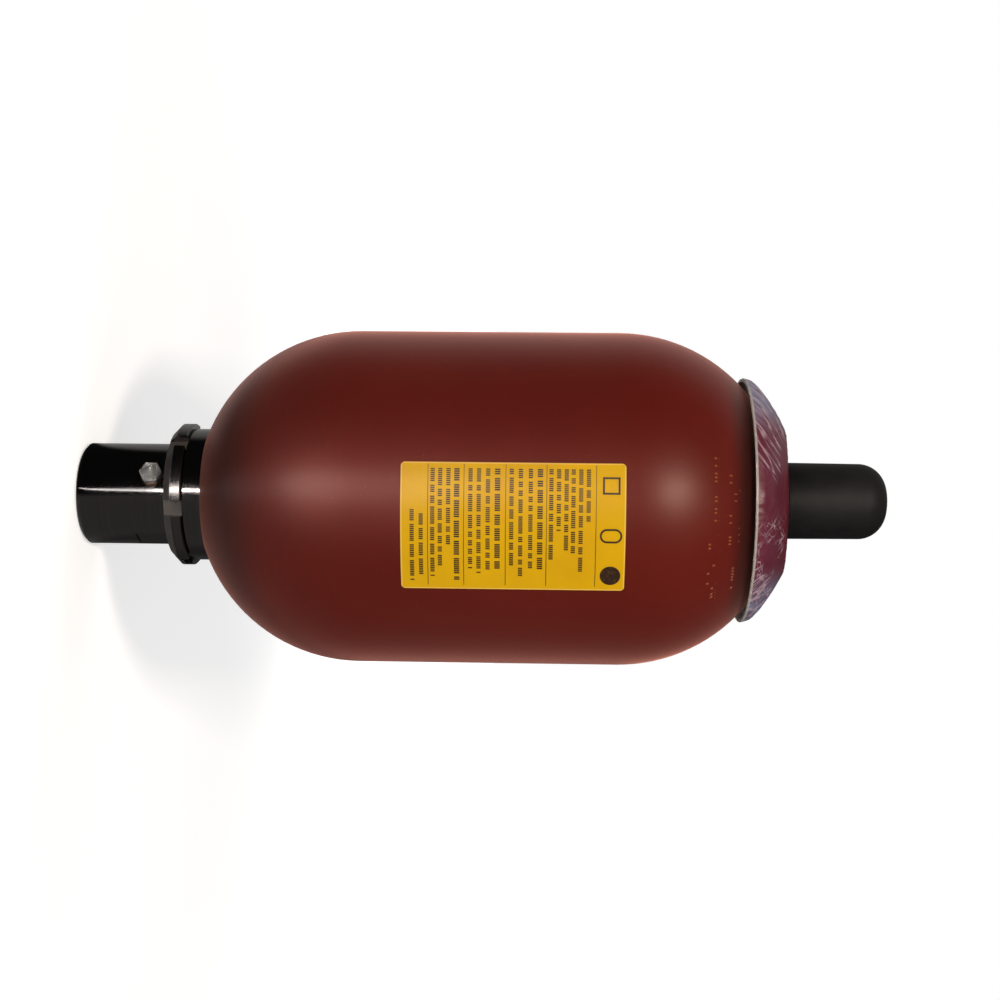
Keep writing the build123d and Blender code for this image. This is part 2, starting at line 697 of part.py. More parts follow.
with BuildPart() as cap_nut:
    extrude(nut_sketch(cap_nut_low, gas_neck_radius + running_gap, cap_nut_across),
            amount=cap_nut_inner_top - cap_nut_low)
    with BuildSketch(Plane.XY.offset(cap_nut_inner_top)):
        RegularPolygon(cap_nut_corner, 6)
    extrude(amount=cap_nut_top_wall)
    revolve(nut_envelope(cap_nut_low, cap_nut_top, cap_nut_across), axis=Axis.Z, mode=Mode.INTERSECT)
    with BuildSketch(Plane.XY.offset(cap_nut_low)):
        Circle(cap_seal_centre_radius + cap_seal_radius + seal_gap)
    extrude(amount=cap_seal_section, mode=Mode.SUBTRACT)
cap_nut.part.label = "cap_nut"

with BuildPart() as protection_cap:
    with BuildSketch(Plane.XZ) as cap_section:
        with BuildLine():
            Polyline((0, rubber_cap_inner_top), (rubber_cap_inner_radius, rubber_cap_inner_top),
                     (rubber_cap_inner_radius, rubber_cap_low), (rubber_cap_mouth_radius, rubber_cap_low),
                     (rubber_cap_tip_radius, rubber_cap_top), (0, rubber_cap_top), close=True)
        make_face()
        end_points = cap_section.vertices().filter_by(lambda v: abs(v.Y - rubber_cap_top) < stop_gap)
        fillet(end_points.sort_by(Axis.X)[-1], radius=rubber_cap_corner)
        roof_points = cap_section.vertices().filter_by(lambda v: abs(v.Y - rubber_cap_inner_top) < stop_gap)
        fillet(roof_points.sort_by(Axis.X)[-1], radius=rubber_cap_corner - rubber_cap_wall)
    revolve(axis=Axis.Z)
    mouth_edges = protection_cap.edges().group_by(Axis.Z)[0]
    chamfer(mouth_edges.sort_by(SortBy.RADIUS)[-1], length=rubber_cap_mouth_edge)
protection_cap.part.label = "protection_cap"

# ---------------------------------------------------------------- label and its print

label_span = 180 * label_arc / (pi * shell_radius)
label_start = label_angle - label_span / 2
print_inner_radius = label_outer_radius + glue_gap
print_outer_radius = print_inner_radius + print_thickness
sign_reach = 2 * sign_disc_radius


def arc_angle(length):
    """Return the angle that a length of arc spans on the label."""
    return 180 * length / (pi * label_outer_radius)


def curved_patch(inner, outer, low, high, start):
    """Return the section of a thin curved patch, to be revolved from its start angle."""
    with BuildSketch(section_plane(start)) as patch:
        with Locations(((inner + outer) / 2, (low + high) / 2)):
            Rectangle(outer - inner, high - low)
    return patch.sketch


with BuildPart() as label:
    revolve(curved_patch(label_inner_radius, label_outer_radius, label_low_z, label_high_z, label_start),
            axis=Axis.Z, revolution_arc=label_span)
    corner_edges = label.edges().filter_by(lambda edge: edge.length < 2 * label_thickness)
    fillet(corner_edges, radius=label_corner)
label.part.label = "label"

sign_z = label_high_z - (label_length - sum(print_strip_heights)) / 2


def sign_plane(share):
    """Return the plane inside the label's radius for a sign, local x pointing up the axis."""
    angle = radians(label_start + share * label_span)
    outward = (cos(angle), sin(angle), 0)
    return Plane(origin=(0, 0, sign_z), x_dir=(0, 0, 1), z_dir=outward).offset(shell_radius - sign_reach)


with BuildPart() as label_print:
    with BuildSketch(sign_plane(sign_places[0])):
        Rectangle(sign_square, sign_square)
        Rectangle(sign_square - 2 * sign_line, sign_square - 2 * sign_line, mode=Mode.SUBTRACT)
    with BuildSketch(sign_plane(sign_places[1])):
        SlotOverall(sign_capsule_length, sign_capsule_width)
        SlotOverall(sign_capsule_length - 2 * sign_line, sign_capsule_width - 2 * sign_line,
                    mode=Mode.SUBTRACT)
    with BuildSketch(sign_plane(sign_places[2])):
        Circle(sign_disc_radius)
    extrude(amount=2 * sign_reach)
    extrude(ring_sketch(sign_z - sign_reach, print_inner_radius, print_outer_radius),
            amount=2 * sign_reach, mode=Mode.INTERSECT)
    strip_low = label_low_z
    row_shares = iter(print_row_shares)
    for strip_height, row_count in zip(print_strip_heights, print_row_counts):
        row_pitch = strip_height / (row_count - 1 + 2 * print_row_inset)
        half_bar = print_bar_share * row_pitch / 2
        for row in range(row_count):
            row_z = strip_low + (row + print_row_inset) * row_pitch
            bar_length = next(row_shares) * label_arc
            revolve(curved_patch(print_inner_radius, print_outer_radius, row_z - half_bar, row_z + half_bar,
                                 label_start + arc_angle(print_side_margin)),
                    axis=Axis.Z, revolution_arc=arc_angle(bar_length))
        strip_low += strip_height
        revolve(curved_patch(print_inner_radius, print_outer_radius, strip_low - print_rule_width / 2,
                             strip_low + print_rule_width / 2, label_start + arc_angle(label_corner)),
                axis=Axis.Z, revolution_arc=arc_angle(label_arc - 2 * label_corner))
label_print.part.label = "label_print"

# ---------------------------------------------------------------- export

pieces = [
    shell, oil_valve_body, valve_plate, damping_sleeve, poppet_lock_nut, poppet_spring,
    retaining_ring_halves, retaining_ring_rubber, seal_washer, port_o_ring, support_ring, spacer_ring,
    port_lock_nut, vent_seal_ring, vent_screw, bladder, gas_valve_stem, valve_core_body, valve_core_pin,
    valve_core_seal, valve_core_spring, data_plate, protective_film, stem_lock_nut, cap_seal_ring,
    cap_nut, protection_cap, label, label_print,
]
for piece in pieces:
    export_step(piece.part, f"parts/{piece.part.label}.step")
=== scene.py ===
"""Dress the bladder accumulator: its finishes, its crinkled film, its springs and its label's print."""
import logging
import math
import random
from collections.abc import Callable, Iterator
from contextlib import contextmanager
from dataclasses import dataclass
from enum import Enum

import bpy
from mathutils import Matrix, Vector, noise


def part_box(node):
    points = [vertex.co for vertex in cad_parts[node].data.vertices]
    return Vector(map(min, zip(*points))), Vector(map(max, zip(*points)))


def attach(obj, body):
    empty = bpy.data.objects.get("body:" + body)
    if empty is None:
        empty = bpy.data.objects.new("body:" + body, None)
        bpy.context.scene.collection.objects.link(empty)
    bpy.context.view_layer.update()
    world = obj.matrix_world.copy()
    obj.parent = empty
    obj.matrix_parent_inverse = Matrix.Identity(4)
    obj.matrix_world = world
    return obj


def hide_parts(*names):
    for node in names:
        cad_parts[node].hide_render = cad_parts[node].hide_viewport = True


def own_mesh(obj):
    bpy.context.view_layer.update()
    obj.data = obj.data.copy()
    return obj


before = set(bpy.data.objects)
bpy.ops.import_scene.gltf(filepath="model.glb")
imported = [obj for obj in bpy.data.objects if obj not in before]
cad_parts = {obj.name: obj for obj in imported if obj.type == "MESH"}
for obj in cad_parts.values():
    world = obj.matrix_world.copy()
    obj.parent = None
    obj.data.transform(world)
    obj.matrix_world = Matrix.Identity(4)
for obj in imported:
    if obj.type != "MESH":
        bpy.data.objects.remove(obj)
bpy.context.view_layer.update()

log = logging.getLogger("accumulator")

MM = 0.001
DOUBLES = 0.001 * MM
FULL_TURN = 2 * math.pi
LABEL_ANGLE = math.radians(-80.3)
LABEL_HALF_ANGLE = math.radians(20.56)
VENT_ANGLE = math.radians(-113)

Colour = tuple[float, float, float]
Pair = tuple[float, float]
Stops = list[tuple[float, Colour]]
Material = bpy.types.Material
NodeTree = bpy.types.NodeTree
Piece = bpy.types.Object
Socket = bpy.types.NodeSocket
Sockets = bpy.types.bpy_prop_collection


class Ramp(Enum):
    """How a colour ramp goes from one stop to the next."""

    SMOOTH = "EASE"
    STRAIGHT = "LINEAR"


# ---------------------------------------------------------------- working by hand, in code


def clear_selection() -> None:
    """Leave edit mode and deselect every object, so that an operator acts on new pieces alone."""
    if bpy.context.object and bpy.context.object.mode != "OBJECT":
        bpy.ops.object.mode_set(mode="OBJECT")
    bpy.ops.object.select_all(action="DESELECT")


def make_active(piece: Piece) -> None:
    """Select one object alone and make it the active one.

    Args:
        piece: the object.
    """
    clear_selection()
    piece.select_set(True)
    bpy.context.view_layer.objects.active = piece


def add_piece(name: str, add: Callable[..., set[str]], **settings: object) -> Piece:
    """Add one object to the scene and name it.

    Args:
        name: the object's name.
        add: the operator that adds it.
        settings: what the operator is given.

    Returns:
        The new object, which is the active one.
    """
    clear_selection()
    add(**settings)
    piece = bpy.context.object
    piece.name = name
    return piece


@contextmanager
def whole_mesh() -> Iterator[None]:
    """Edit the active object's mesh with all of it selected, and leave edit mode at the end.

    Yields:
        Nothing.
    """
    bpy.ops.object.mode_set(mode="EDIT")
    bpy.ops.mesh.select_all(action="SELECT")
    yield
    bpy.ops.object.mode_set(mode="OBJECT")


def apply_modifiers(piece: Piece) -> None:
    """Apply every modifier of a piece, in order.

    Args:
        piece: the mesh object.
    """
    make_active(piece)
    for modifier in list(piece.modifiers):
        bpy.ops.object.modifier_apply(modifier=modifier.name)


def face_outwards(piece: Piece) -> None:
    """Merge a piece's doubles and recalculate its normals outwards.

    Args:
        piece: the mesh object.
    """
    make_active(piece)
    with whole_mesh():
        bpy.ops.mesh.remove_doubles(threshold=DOUBLES)
        bpy.ops.mesh.normals_make_consistent(inside=False)


def settle(piece: Piece) -> None:
    """Put a piece's place, turn and scale into its mesh, so that its object sits at the origin."""
    make_active(piece)
    bpy.ops.object.transform_apply(location=True, rotation=True, scale=True)


def copy_of(piece: Piece, placing: Matrix) -> Piece:
    """Copy a piece with its own mesh.

    Args:
        piece: the piece.
        placing: the matrix that moves the copy.

    Returns:
        The copy.
    """
    twin = piece.copy()
    twin.data = piece.data.copy()
    twin.data.transform(placing)
    bpy.context.collection.objects.link(twin)
    return twin


def join_pieces(pieces: list[Piece], name: str) -> Piece:
    """Join several meshes into one piece.

    Args:
        pieces: the meshes, of which the first takes in the rest.
        name: the name of the piece and of its mesh.

    Returns:
        The piece.
    """
    clear_selection()
    for piece in pieces:
        piece.select_set(True)
    bpy.context.view_layer.objects.active = pieces[0]
    bpy.ops.object.join()
    pieces[0].name = pieces[0].data.name = name
    return pieces[0]


def paint(piece: Piece, material: Material) -> None:
    """Give a piece one material all over."""
    piece.data.materials.clear()
    piece.data.materials.append(material)


def clamp(value: float, low: float = 0.0) -> float:
    """Return a value kept between a low end and 1."""
    return min(max(value, low), 1)


# ---------------------------------------------------------------- shader nodes


class NodeSheet:
    """A node tree that is filled in one node at a time."""

    def __init__(self, tree: NodeTree) -> None:
        """Keep the tree that the nodes go into."""
        self.tree = tree

    def add(self, kind: str, **settings: object) -> bpy.types.Node:
        """Add a node.

        Args:
            kind: the node's type.
            settings: its properties, by name.

        Returns:
            The node.
        """
        node = self.tree.nodes.new(kind)
        for name, value in settings.items():
            setattr(node, name, value)
        return node

    def link(self, source: object, target: Socket) -> None:
        """Link a socket to another, or set a plain value on it.

        Args:
            source: the socket or value that is given.
            target: the socket that takes it.
        """
        if isinstance(source, Socket):
            self.tree.links.new(source, target)
        else:
            target.default_value = source

    def math(self, operation: str, *values: object, clamp: bool = False) -> Socket:
        """Add a Math node.

        Args:
            operation: what the node does.
            values: the sockets or numbers that it does it to.
            clamp: whether the result is kept between 0 and 1.

        Returns:
            The result.
        """
        node = self.add("ShaderNodeMath", operation=operation, use_clamp=clamp)
        for value, socket in zip(values, node.inputs):
            self.link(value, socket)
        return node.outputs[0]

    def sum(self, first: object, second: object) -> Socket:
        """Return the sum of two sockets or numbers."""
        return self.math("ADD", first, second)

    def product(self, first: object, *others: object) -> Socket:
        """Multiply sockets or numbers.

        Args:
            first: the first of them.
            others: the rest, in turn.

        Returns:
            The product.
        """
        for value in others:
            first = self.math("MULTIPLY", first, value)
        return first

    def length(self, x: object, y: object) -> Socket:
        """Return the length of a flat vector."""
        return self.math("SQRT", self.sum(self.product(x, x), self.product(y, y)))

    def less(self, first: object, second: object) -> Socket:
        """Return the first of two sockets or numbers less the second."""
        return self.math("SUBTRACT", first, second)

    def higher(self, first: object, second: object) -> Socket:
        """Return the higher of two sockets or numbers."""
        return self.math("MAXIMUM", first, second)

    def between(self, value: object, low: object, high: object) -> Socket:
        """Return 1 where a value lies between two others, and 0 elsewhere."""
        return self.product(self.math("GREATER_THAN", value, low), self.math("LESS_THAN", value, high))

    def step(self, value: object, low: float, high: float) -> Socket:
        """Add a smooth step from 0 to 1.

        Args:
            value: the socket that the step follows.
            low: where the step is 0.
            high: where it is 1, which may be the lower value.

        Returns:
            The step.
        """
        node = self.add("ShaderNodeMapRange", interpolation_type="SMOOTHSTEP")
        start, end, falls = (low, high, False) if low < high else (high, low, True)
        self.link(value, node.inputs["Value"])
        node.inputs["From Min"].default_value = start
        node.inputs["From Max"].default_value = end
        node.inputs["To Min"].default_value = 1.0 if falls else 0.0
        node.inputs["To Max"].default_value = 0.0 if falls else 1.0
        return node.outputs["Result"]

    def noise(self, place: object, scale: float, detail: float = 4.0, rough: float = 0.5,
              distortion: float = 0.0) -> Socket:
        """Add a noise texture.

        Args:
            place: where the noise is read.
            scale: how often it changes, per metre.
            detail: how many finer layers it has.
            rough: how strong the finer layers are.
            distortion: how far it is bent.

        Returns:
            A value between 0 and 1.
        """
        node = self.add("ShaderNodeTexNoise")
        self.link(place, node.inputs["Vector"])
        self.link(scale, node.inputs["Scale"])
        node.inputs["Detail"].default_value = detail
        node.inputs["Roughness"].default_value = rough
        node.inputs["Distortion"].default_value = distortion
        return node.outputs["Fac"]

    def ramp(self, value: object, stops: Stops, style: Ramp = Ramp.STRAIGHT) -> Socket:
        """Add a colour ramp.

        Args:
            value: what picks the colour.
            stops: positions between 0 and 1 with their colours.
            style: how the ramp goes from one stop to the next.

        Returns:
            The colour.
        """
        node = self.add("ShaderNodeValToRGB")
        node.color_ramp.interpolation = style.value
        elements = node.color_ramp.elements
        while len(elements) < len(stops):
            elements.new(0.5)
        for element, (position, colour) in zip(elements, stops):
            element.position = position
            element.color = (*colour, 1.0)
        self.link(value, node.inputs["Fac"])
        return node.outputs["Color"]

    def mix(self, share: object, first: object, second: object) -> Socket:
        """Mix two colours, each a socket or a plain colour.

        Args:
            share: how much of the second shows.
            first: the colour at 0.
            second: the colour at 1.

        Returns:
            The mixed colour.
        """
        node = self.add("ShaderNodeMix", data_type="RGBA")
        self.link(share, node.inputs[0])
        for value, socket in ((first, node.inputs[6]), (second, node.inputs[7])):
            self.link(value if isinstance(value, Socket) else (*value, 1.0), socket)
        return node.outputs[2]

    def blend_values(self, share: object, first: object, second: object) -> Socket:
        """Mix two plain values.

        Args:
            share: how much of the second counts.
            first: the value at 0.
            second: the value at 1.

        Returns:
            The mixed value.
        """
        node = self.add("ShaderNodeMix", data_type="FLOAT")
        for value, socket in ((share, node.inputs[0]), (first, node.inputs[2]), (second, node.inputs[3])):
            self.link(value, socket)
        return node.outputs[0]

    def vector(self, x: object, y: object, z: object) -> Socket:
        """Make a vector of three sockets or numbers.

        Args:
            x: its X.
            y: its Y.
            z: its Z.

        Returns:
            The vector.
        """
        node = self.add("ShaderNodeCombineXYZ")
        for value, socket in zip((x, y, z), node.inputs):
            self.link(value, socket)
        return node.outputs[0]

    def parts(self, place: Socket) -> tuple[Socket, ...]:
        """Take a place apart.

        Args:
            place: the place.

        Returns:
            Its X, Y and Z.
        """
        node = self.add("ShaderNodeSeparateXYZ")
        self.link(place, node.inputs[0])
        return tuple(node.outputs)

    def chance(self, x: object, y: object, z: object, share: float) -> Socket:
        """Pick out cells by a throw for each.

        Args:
            x: the cell's first number.
            y: its second number.
            z: its third number.
            share: how many of the cells stay out, 0 to 1.

        Returns:
            1 in the cells that are picked and 0 in the rest.
        """
        node = self.add("ShaderNodeTexWhiteNoise", noise_dimensions="3D")
        self.link(self.vector(x, y, z), node.inputs["Vector"])
        return self.math("GREATER_THAN", node.outputs["Value"], share)

    def seen_directly(self) -> Socket:
        """Tell the rays that see a surface from those that carry its light.

        Returns:
            1 for camera rays, in reflections and through glass, and 0 for light.
        """
        path = self.add("ShaderNodeLightPath")
        seen = self.math("ADD", path.outputs["Is Camera Ray"], path.outputs["Is Glossy Ray"])
        return self.math("ADD", seen, path.outputs["Is Transmission Ray"], clamp=True)

    def from_origin(self) -> Socket:
        """Measure from the object's origin.

        Returns:
            How far a point lies from it, in metres.
        """
        node = self.add("ShaderNodeVectorMath", operation="LENGTH")
        self.link(self.add("ShaderNodeTexCoord").outputs["Object"], node.inputs[0])
        return node.outputs["Value"]

    def use(self, group: NodeTree, **inputs: object) -> bpy.types.Node:
        """Place a shared group.

        Args:
            group: the group.
            inputs: what its inputs are given, by name.

        Returns:
            The group's node.
        """
        node = self.add("ShaderNodeGroup", node_tree=group)
        for name, value in inputs.items():
            self.link(value, node.inputs[name])
        return node


class MaterialSheet(NodeSheet):
    """A new material's node tree, with nothing in it but its output."""

    def __init__(self, name: str) -> None:
        """Start a material.

        Args:
            name: the material's name.
        """
        self.material = bpy.data.materials.new(name)
        self.material.use_nodes = True
        super().__init__(self.material.node_tree)
        self.tree.nodes.clear()
        self.surface = self.add("ShaderNodeOutputMaterial").inputs["Surface"]


class GlowSheet(MaterialSheet):
    """A material that only glows."""

    def __init__(self, name: str) -> None:
        """Start a material and give it its glow.

        Args:
            name: the material's name.
        """
        super().__init__(name)
        self.glow = self.add("ShaderNodeEmission")
        self.link(self.glow.outputs[0], self.surface)


class FinishSheet(MaterialSheet):
    """A finish's material, with one Principled shader and its object coordinates."""

    def __init__(self, name: str, metal: float = 0.0, specular: float = 0.5) -> None:
        """Start a material.

        Args:
            name: the material's name.
            metal: 1 for bare metal and 0 for everything else.
            specular: how strongly the bare surface reflects, 0.5 being plain plastic.
        """
        super().__init__(name)
        self.shader = self.add("ShaderNodeBsdfPrincipled")
        self.link(self.shader.outputs["BSDF"], self.surface)
        self.place = self.add("ShaderNodeTexCoord").outputs["Object"]
        self.set("Metallic", metal)
        self.set("Specular IOR Level", specular)
        self.normal: Socket | None = None

    def set(self, name: str, value: object) -> None:
        """Link or set one of the shader's inputs."""
        self.link(value, self.shader.inputs[name])

    def rough(self, share: object, low: float, high: float) -> None:
        """Let the roughness go between two values with a share."""
        self.set("Roughness", self.blend_values(share, low, high))

    def effect(self, group: NodeTree, **inputs: object) -> Sockets:
        """Place a shared group on the object coordinates and return its outputs."""
        return self.use(group, Place=self.place, **inputs).outputs

    def thread(self, pitch: float, low: float, high: float, within: float = 1.0) -> None:
        """Cut a screw thread between two heights, within a radius."""
        thread = self.effect(EFFECTS.thread, Pitch=pitch, Low=low, High=high, Within=within)
        self.bump(thread["Height"], 0.55 * pitch)

    def grain(self, scale: float, detail: float, rough: float, distortion: float = 0.0) -> Socket:
        """Return a noise value between 0 and 1 on the object coordinates."""
        return self.noise(self.place, scale, detail, rough, distortion)

    def bump(self, height: object, depth: float, strength: float = 1.0) -> None:
        """Lay a bump over what the surface already has.

        Args:
            height: the height, between 0 and 1.
            depth: how deep the bump is at full height, in metres.
            strength: how much of it shows.
        """
        node = self.add("ShaderNodeBump")
        node.inputs["Strength"].default_value = strength
        node.inputs["Distance"].default_value = depth
        self.link(height, node.inputs["Height"])
        if self.normal is not None:
            self.link(self.normal, node.inputs["Normal"])
        self.normal = node.outputs["Normal"]
        self.set("Normal", self.normal)


class SharedEffects:
    """Shader groups that several finishes use, each built once."""

    def __init__(self) -> None:
        """Build all the groups."""
        self.axial = self._axial()
        self.turning = self._turning()
        self.edge_wear = self._edge_wear()
        self.dust = self._dust()
        self.thread = self._thread()

    @staticmethod
    def _start(name: str, inputs: dict[str, float],
               outputs: list[str]) -> tuple[NodeSheet, Sockets, Sockets]:
        """Start a group with a Place vector, number inputs and value outputs.

        Args:
            name: the group's name.
            inputs: each number input with its usual value.
            outputs: the names of the values it puts out.

        Returns:
            The sheet, what the group is given and what it puts out.
        """
        tree = bpy.data.node_groups.new(name, "ShaderNodeTree")
        tree.interface.new_socket(name="Place", in_out="INPUT", socket_type="NodeSocketVector")
        for label, usual in inputs.items():
            socket = tree.interface.new_socket(name=label, in_out="INPUT", socket_type="NodeSocketFloat")
            socket.default_value = usual
        for label in outputs:
            tree.interface.new_socket(name=label, in_out="OUTPUT", socket_type="NodeSocketFloat")
        sheet = NodeSheet(tree)
        return sheet, sheet.add("NodeGroupInput").outputs, sheet.add("NodeGroupOutput").inputs

    @staticmethod
    def _polar(sheet: NodeSheet, place: Socket) -> tuple[Socket, Socket, Socket]:
        """Return the angle, radius and height of a place about the upright axis."""
        x, y, z = sheet.parts(place)
        return sheet.math("ARCTAN2", y, x), sheet.length(x, y), z

    def _axial(self) -> NodeTree:
        """Build the group that measures about the part's axis.

        Returns:
            The group, which puts out an angle, a radius and a height.
        """
        sheet, given, result = self._start("axial_place", {}, ["Angle", "Radius", "Height"])
        for value, socket in zip(self._polar(sheet, given["Place"]), result):
            sheet.link(value, socket)
        return sheet.tree

    def _turning(self) -> NodeTree:
        """Build the group of the fine rings that a lathe tool leaves.

        Returns:
            The group, which puts out their height and a broader shade.
        """
        inputs = {"Density": 900.0, "Wander": 0.1}
        sheet, given, result = self._start("turning_marks", inputs, ["Height", "Shade"])
        angle, radius, height = self._polar(sheet, given["Place"])
        density = given["Density"]
        across, up = sheet.product(radius, density), sheet.product(height, density)
        around = sheet.product(sheet.math("SINE", angle), given["Wander"])
        rings = sheet.vector(across, around, up)
        sheet.link(sheet.noise(rings, 1.0, 3.0, 0.7), result["Height"])
        bands = sheet.vector(across, sheet.product(angle, 0.6), up)
        sheet.link(sheet.noise(bands, 0.25, 5.0, 0.65), result["Shade"])
        return sheet.tree

    def _edge_wear(self) -> NodeTree:
        """Build the group of broken wear along a round edge.

        Returns:
            The group, which puts out a mask.
        """
        inputs = {"Radius": 0.026, "Height": 0.0, "Width": 0.0006}
        sheet, given, result = self._start("round_edge_wear", inputs, ["Mask"])
        _, radius, height = self._polar(sheet, given["Place"])
        off = sheet.less(radius, given["Radius"])
        up = sheet.less(height, given["Height"])
        away = sheet.math("DIVIDE", sheet.length(off, up), given["Width"])
        near = sheet.math("SUBTRACT", 1.0, away, clamp=True)
        broken = sheet.step(sheet.noise(given["Place"], 420.0, 6.0, 0.7), 0.35, 0.7)
        sheet.link(sheet.math("MULTIPLY", near, broken, clamp=True), result["Mask"])
        return sheet.tree

    def _dust(self) -> NodeTree:
        """Build the group of sparse specks and faint smears.

        Returns:
            The group, which puts out a mask of each.
        """
        inputs = {"Scale": 700.0, "Amount": 0.2}
        sheet, given, result = self._start("dust_and_smears", inputs, ["Specks", "Smears"])
        place = given["Place"]
        grains = sheet.add("ShaderNodeTexVoronoi", feature="F1")
        sheet.link(place, grains.inputs["Vector"])
        sheet.link(given["Scale"], grains.inputs["Scale"])
        near = sheet.step(grains.outputs["Distance"], 0.22, 0.08)
        picked = sheet.step(grains.outputs["Color"], 0.84, 0.88)
        specks = sheet.product(near, picked, given["Amount"])
        smears = sheet.step(sheet.noise(place, 26.0, 6.0, 0.62, 0.6), 0.45, 0.75)
        sheet.link(specks, result["Specks"])
        sheet.link(sheet.product(smears, given["Amount"]), result["Smears"])
        return sheet.tree

    def _thread(self) -> NodeTree:
        """Build the group of a screw thread, between two heights and within a radius.

        Returns:
            The group, which puts out the height of the thread's flanks.
        """
        inputs = {"Pitch": 0.002, "Low": 0.0, "High": 0.02, "Within": 1.0}
        sheet, given, result = self._start("screw_thread", inputs, ["Height"])
        angle, radius, height = self._polar(sheet, given["Place"])
        turns = sheet.math("DIVIDE", angle, FULL_TURN)
        phase = sheet.less(sheet.math("DIVIDE", height, given["Pitch"]), turns)
        flank = sheet.math("PINGPONG", phase, 0.5)
        inside = sheet.product(sheet.between(height, given["Low"], given["High"]),
                               sheet.math("LESS_THAN", radius, given["Within"]))
        sheet.link(sheet.product(flank, 2.0, inside), result["Height"])
        return sheet.tree


EFFECTS = SharedEffects()


# ---------------------------------------------------------------- finishes


@dataclass(frozen=True)
class VesselPaint:
    """Red oxide paint, satin, sprayed over a spun steel shell with stamped marks by the gas end, and
    painted shade under the plate and round the port.
    """

    body: Colour = (0.092, 0.0040, 0.0012)
    worn: Colour = (0.106, 0.0064, 0.0026)
    primer: Colour = (0.290, 0.070, 0.0160)
    # Near-black red painted on as shade under the plate and round the port's neck.
    painted_shade: Colour = (0.016, 0.0010, 0.0008)
    gleam: Colour = (1.0, 0.75, 0.67)
    sheen: Colour = (1.0, 0.42, 0.34)
    gloss: float = 0.36
    shade_under_plate: Pair = (14 * MM, 3 * MM)
    shade_by_port: Pair = (106 * MM, 80 * MM)
    stamp_rows: tuple[Pair, ...] = ((0.3125, 0.3182), (0.3228, 0.3288))
    stamp_turn: Pair = (-1.86, -0.86)
    stamp_radius: float = 72 * MM
    stamp_pitch: float = 1.8 * MM
    stamp_group: float = 5.0
    stamp_depth: float = 0.3 * MM

    def _stamp(self, sheet: FinishSheet) -> Socket:
        """Punch small dots in short rows on the gas end's dome.

        Args:
            sheet: the paint's node tree.

        Returns:
            The dots, as a mask.
        """
        axial = sheet.effect(EFFECTS.axial)
        angle, height = axial["Angle"], axial["Height"]
        across = sheet.math("DIVIDE", sheet.product(angle, self.stamp_radius), self.stamp_pitch)
        along = sheet.math("DIVIDE", height, 1.4 * self.stamp_pitch)
        column, row = sheet.math("FLOOR", across), sheet.math("FLOOR", along)
        off = [sheet.less(sheet.math("FRACT", value), 0.5) for value in (across, along)]
        dot = sheet.step(sheet.length(*off), 0.36, 0.18)
        punched = sheet.chance(column, row, 0.0, 0.62)
        group = sheet.math("FLOOR", sheet.math("DIVIDE", column, self.stamp_group))
        grouped = sheet.chance(group, row, 7.0, 0.5)
        in_row: Socket | float = 0.0
        for low, high in self.stamp_rows:
            in_row = sheet.sum(sheet.between(height, low, high), in_row)
        turned = sheet.between(angle, *self.stamp_turn)
        return sheet.product(dot, punched, in_row, turned, grouped)

    def _painted_shade_mask(self, sheet: FinishSheet) -> Socket:
        """Paint shade on the shell under the dished plate's rim and round the port's neck.

        Args:
            sheet: the paint's node tree.

        Returns:
            The painted shade, as a mask.
        """
        height = sheet.effect(EFFECTS.axial)["Height"]
        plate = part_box("data_plate")[0].z
        painted_shade = sheet.step(height, *(plate - under for under in self.shade_under_plate))
        neck_shade = sheet.step(height, *self.shade_by_port)
        return sheet.higher(sheet.product(painted_shade, 0.96), sheet.product(neck_shade, 0.75))

    def material(self) -> Material:
        """Build the material.

        Returns:
            The paint.
        """
        sheet = FinishSheet("shell_paint", specular=0.36)
        sheet.set("Specular Tint", (*self.gleam, 1.0))
        sheet.set("Sheen Weight", 0.6)
        sheet.set("Sheen Roughness", 0.35)
        sheet.set("Sheen Tint", (*self.sheen, 1.0))
        drift = sheet.grain(11.0, 5.0, 0.55)
        base = sheet.ramp(drift, [(0.35, self.body), (0.75, self.worn)], Ramp.SMOOTH)
        dust = sheet.effect(EFFECTS.dust, Scale=520.0, Amount=0.35)
        base = sheet.mix(dust["Specks"], base, self.primer)
        base = sheet.mix(sheet.product(dust["Smears"], 0.35), base, self.worn)
        stamp = self._stamp(sheet)
        base = sheet.mix(sheet.product(stamp, 0.85), base, self.primer)
        # Painted shade: the shell goes near black under the plate's rim and round the port's neck.
        sheet.set("Base Color", sheet.mix(self._painted_shade_mask(sheet), base, self.painted_shade))
        patch = sheet.grain(38.0, 6.0, 0.6)
        sheet.rough(patch, self.gloss, self.gloss + 0.10)
        sheet.bump(sheet.grain(900.0, 3.0, 0.55), 0.03 * MM, 0.5)
        sheet.bump(sheet.grain(90.0, 2.0, 0.5), 0.1 * MM, 0.35)
        sheet.bump(sheet.less(1.0, stamp), self.stamp_depth, 0.8)
        return sheet.material


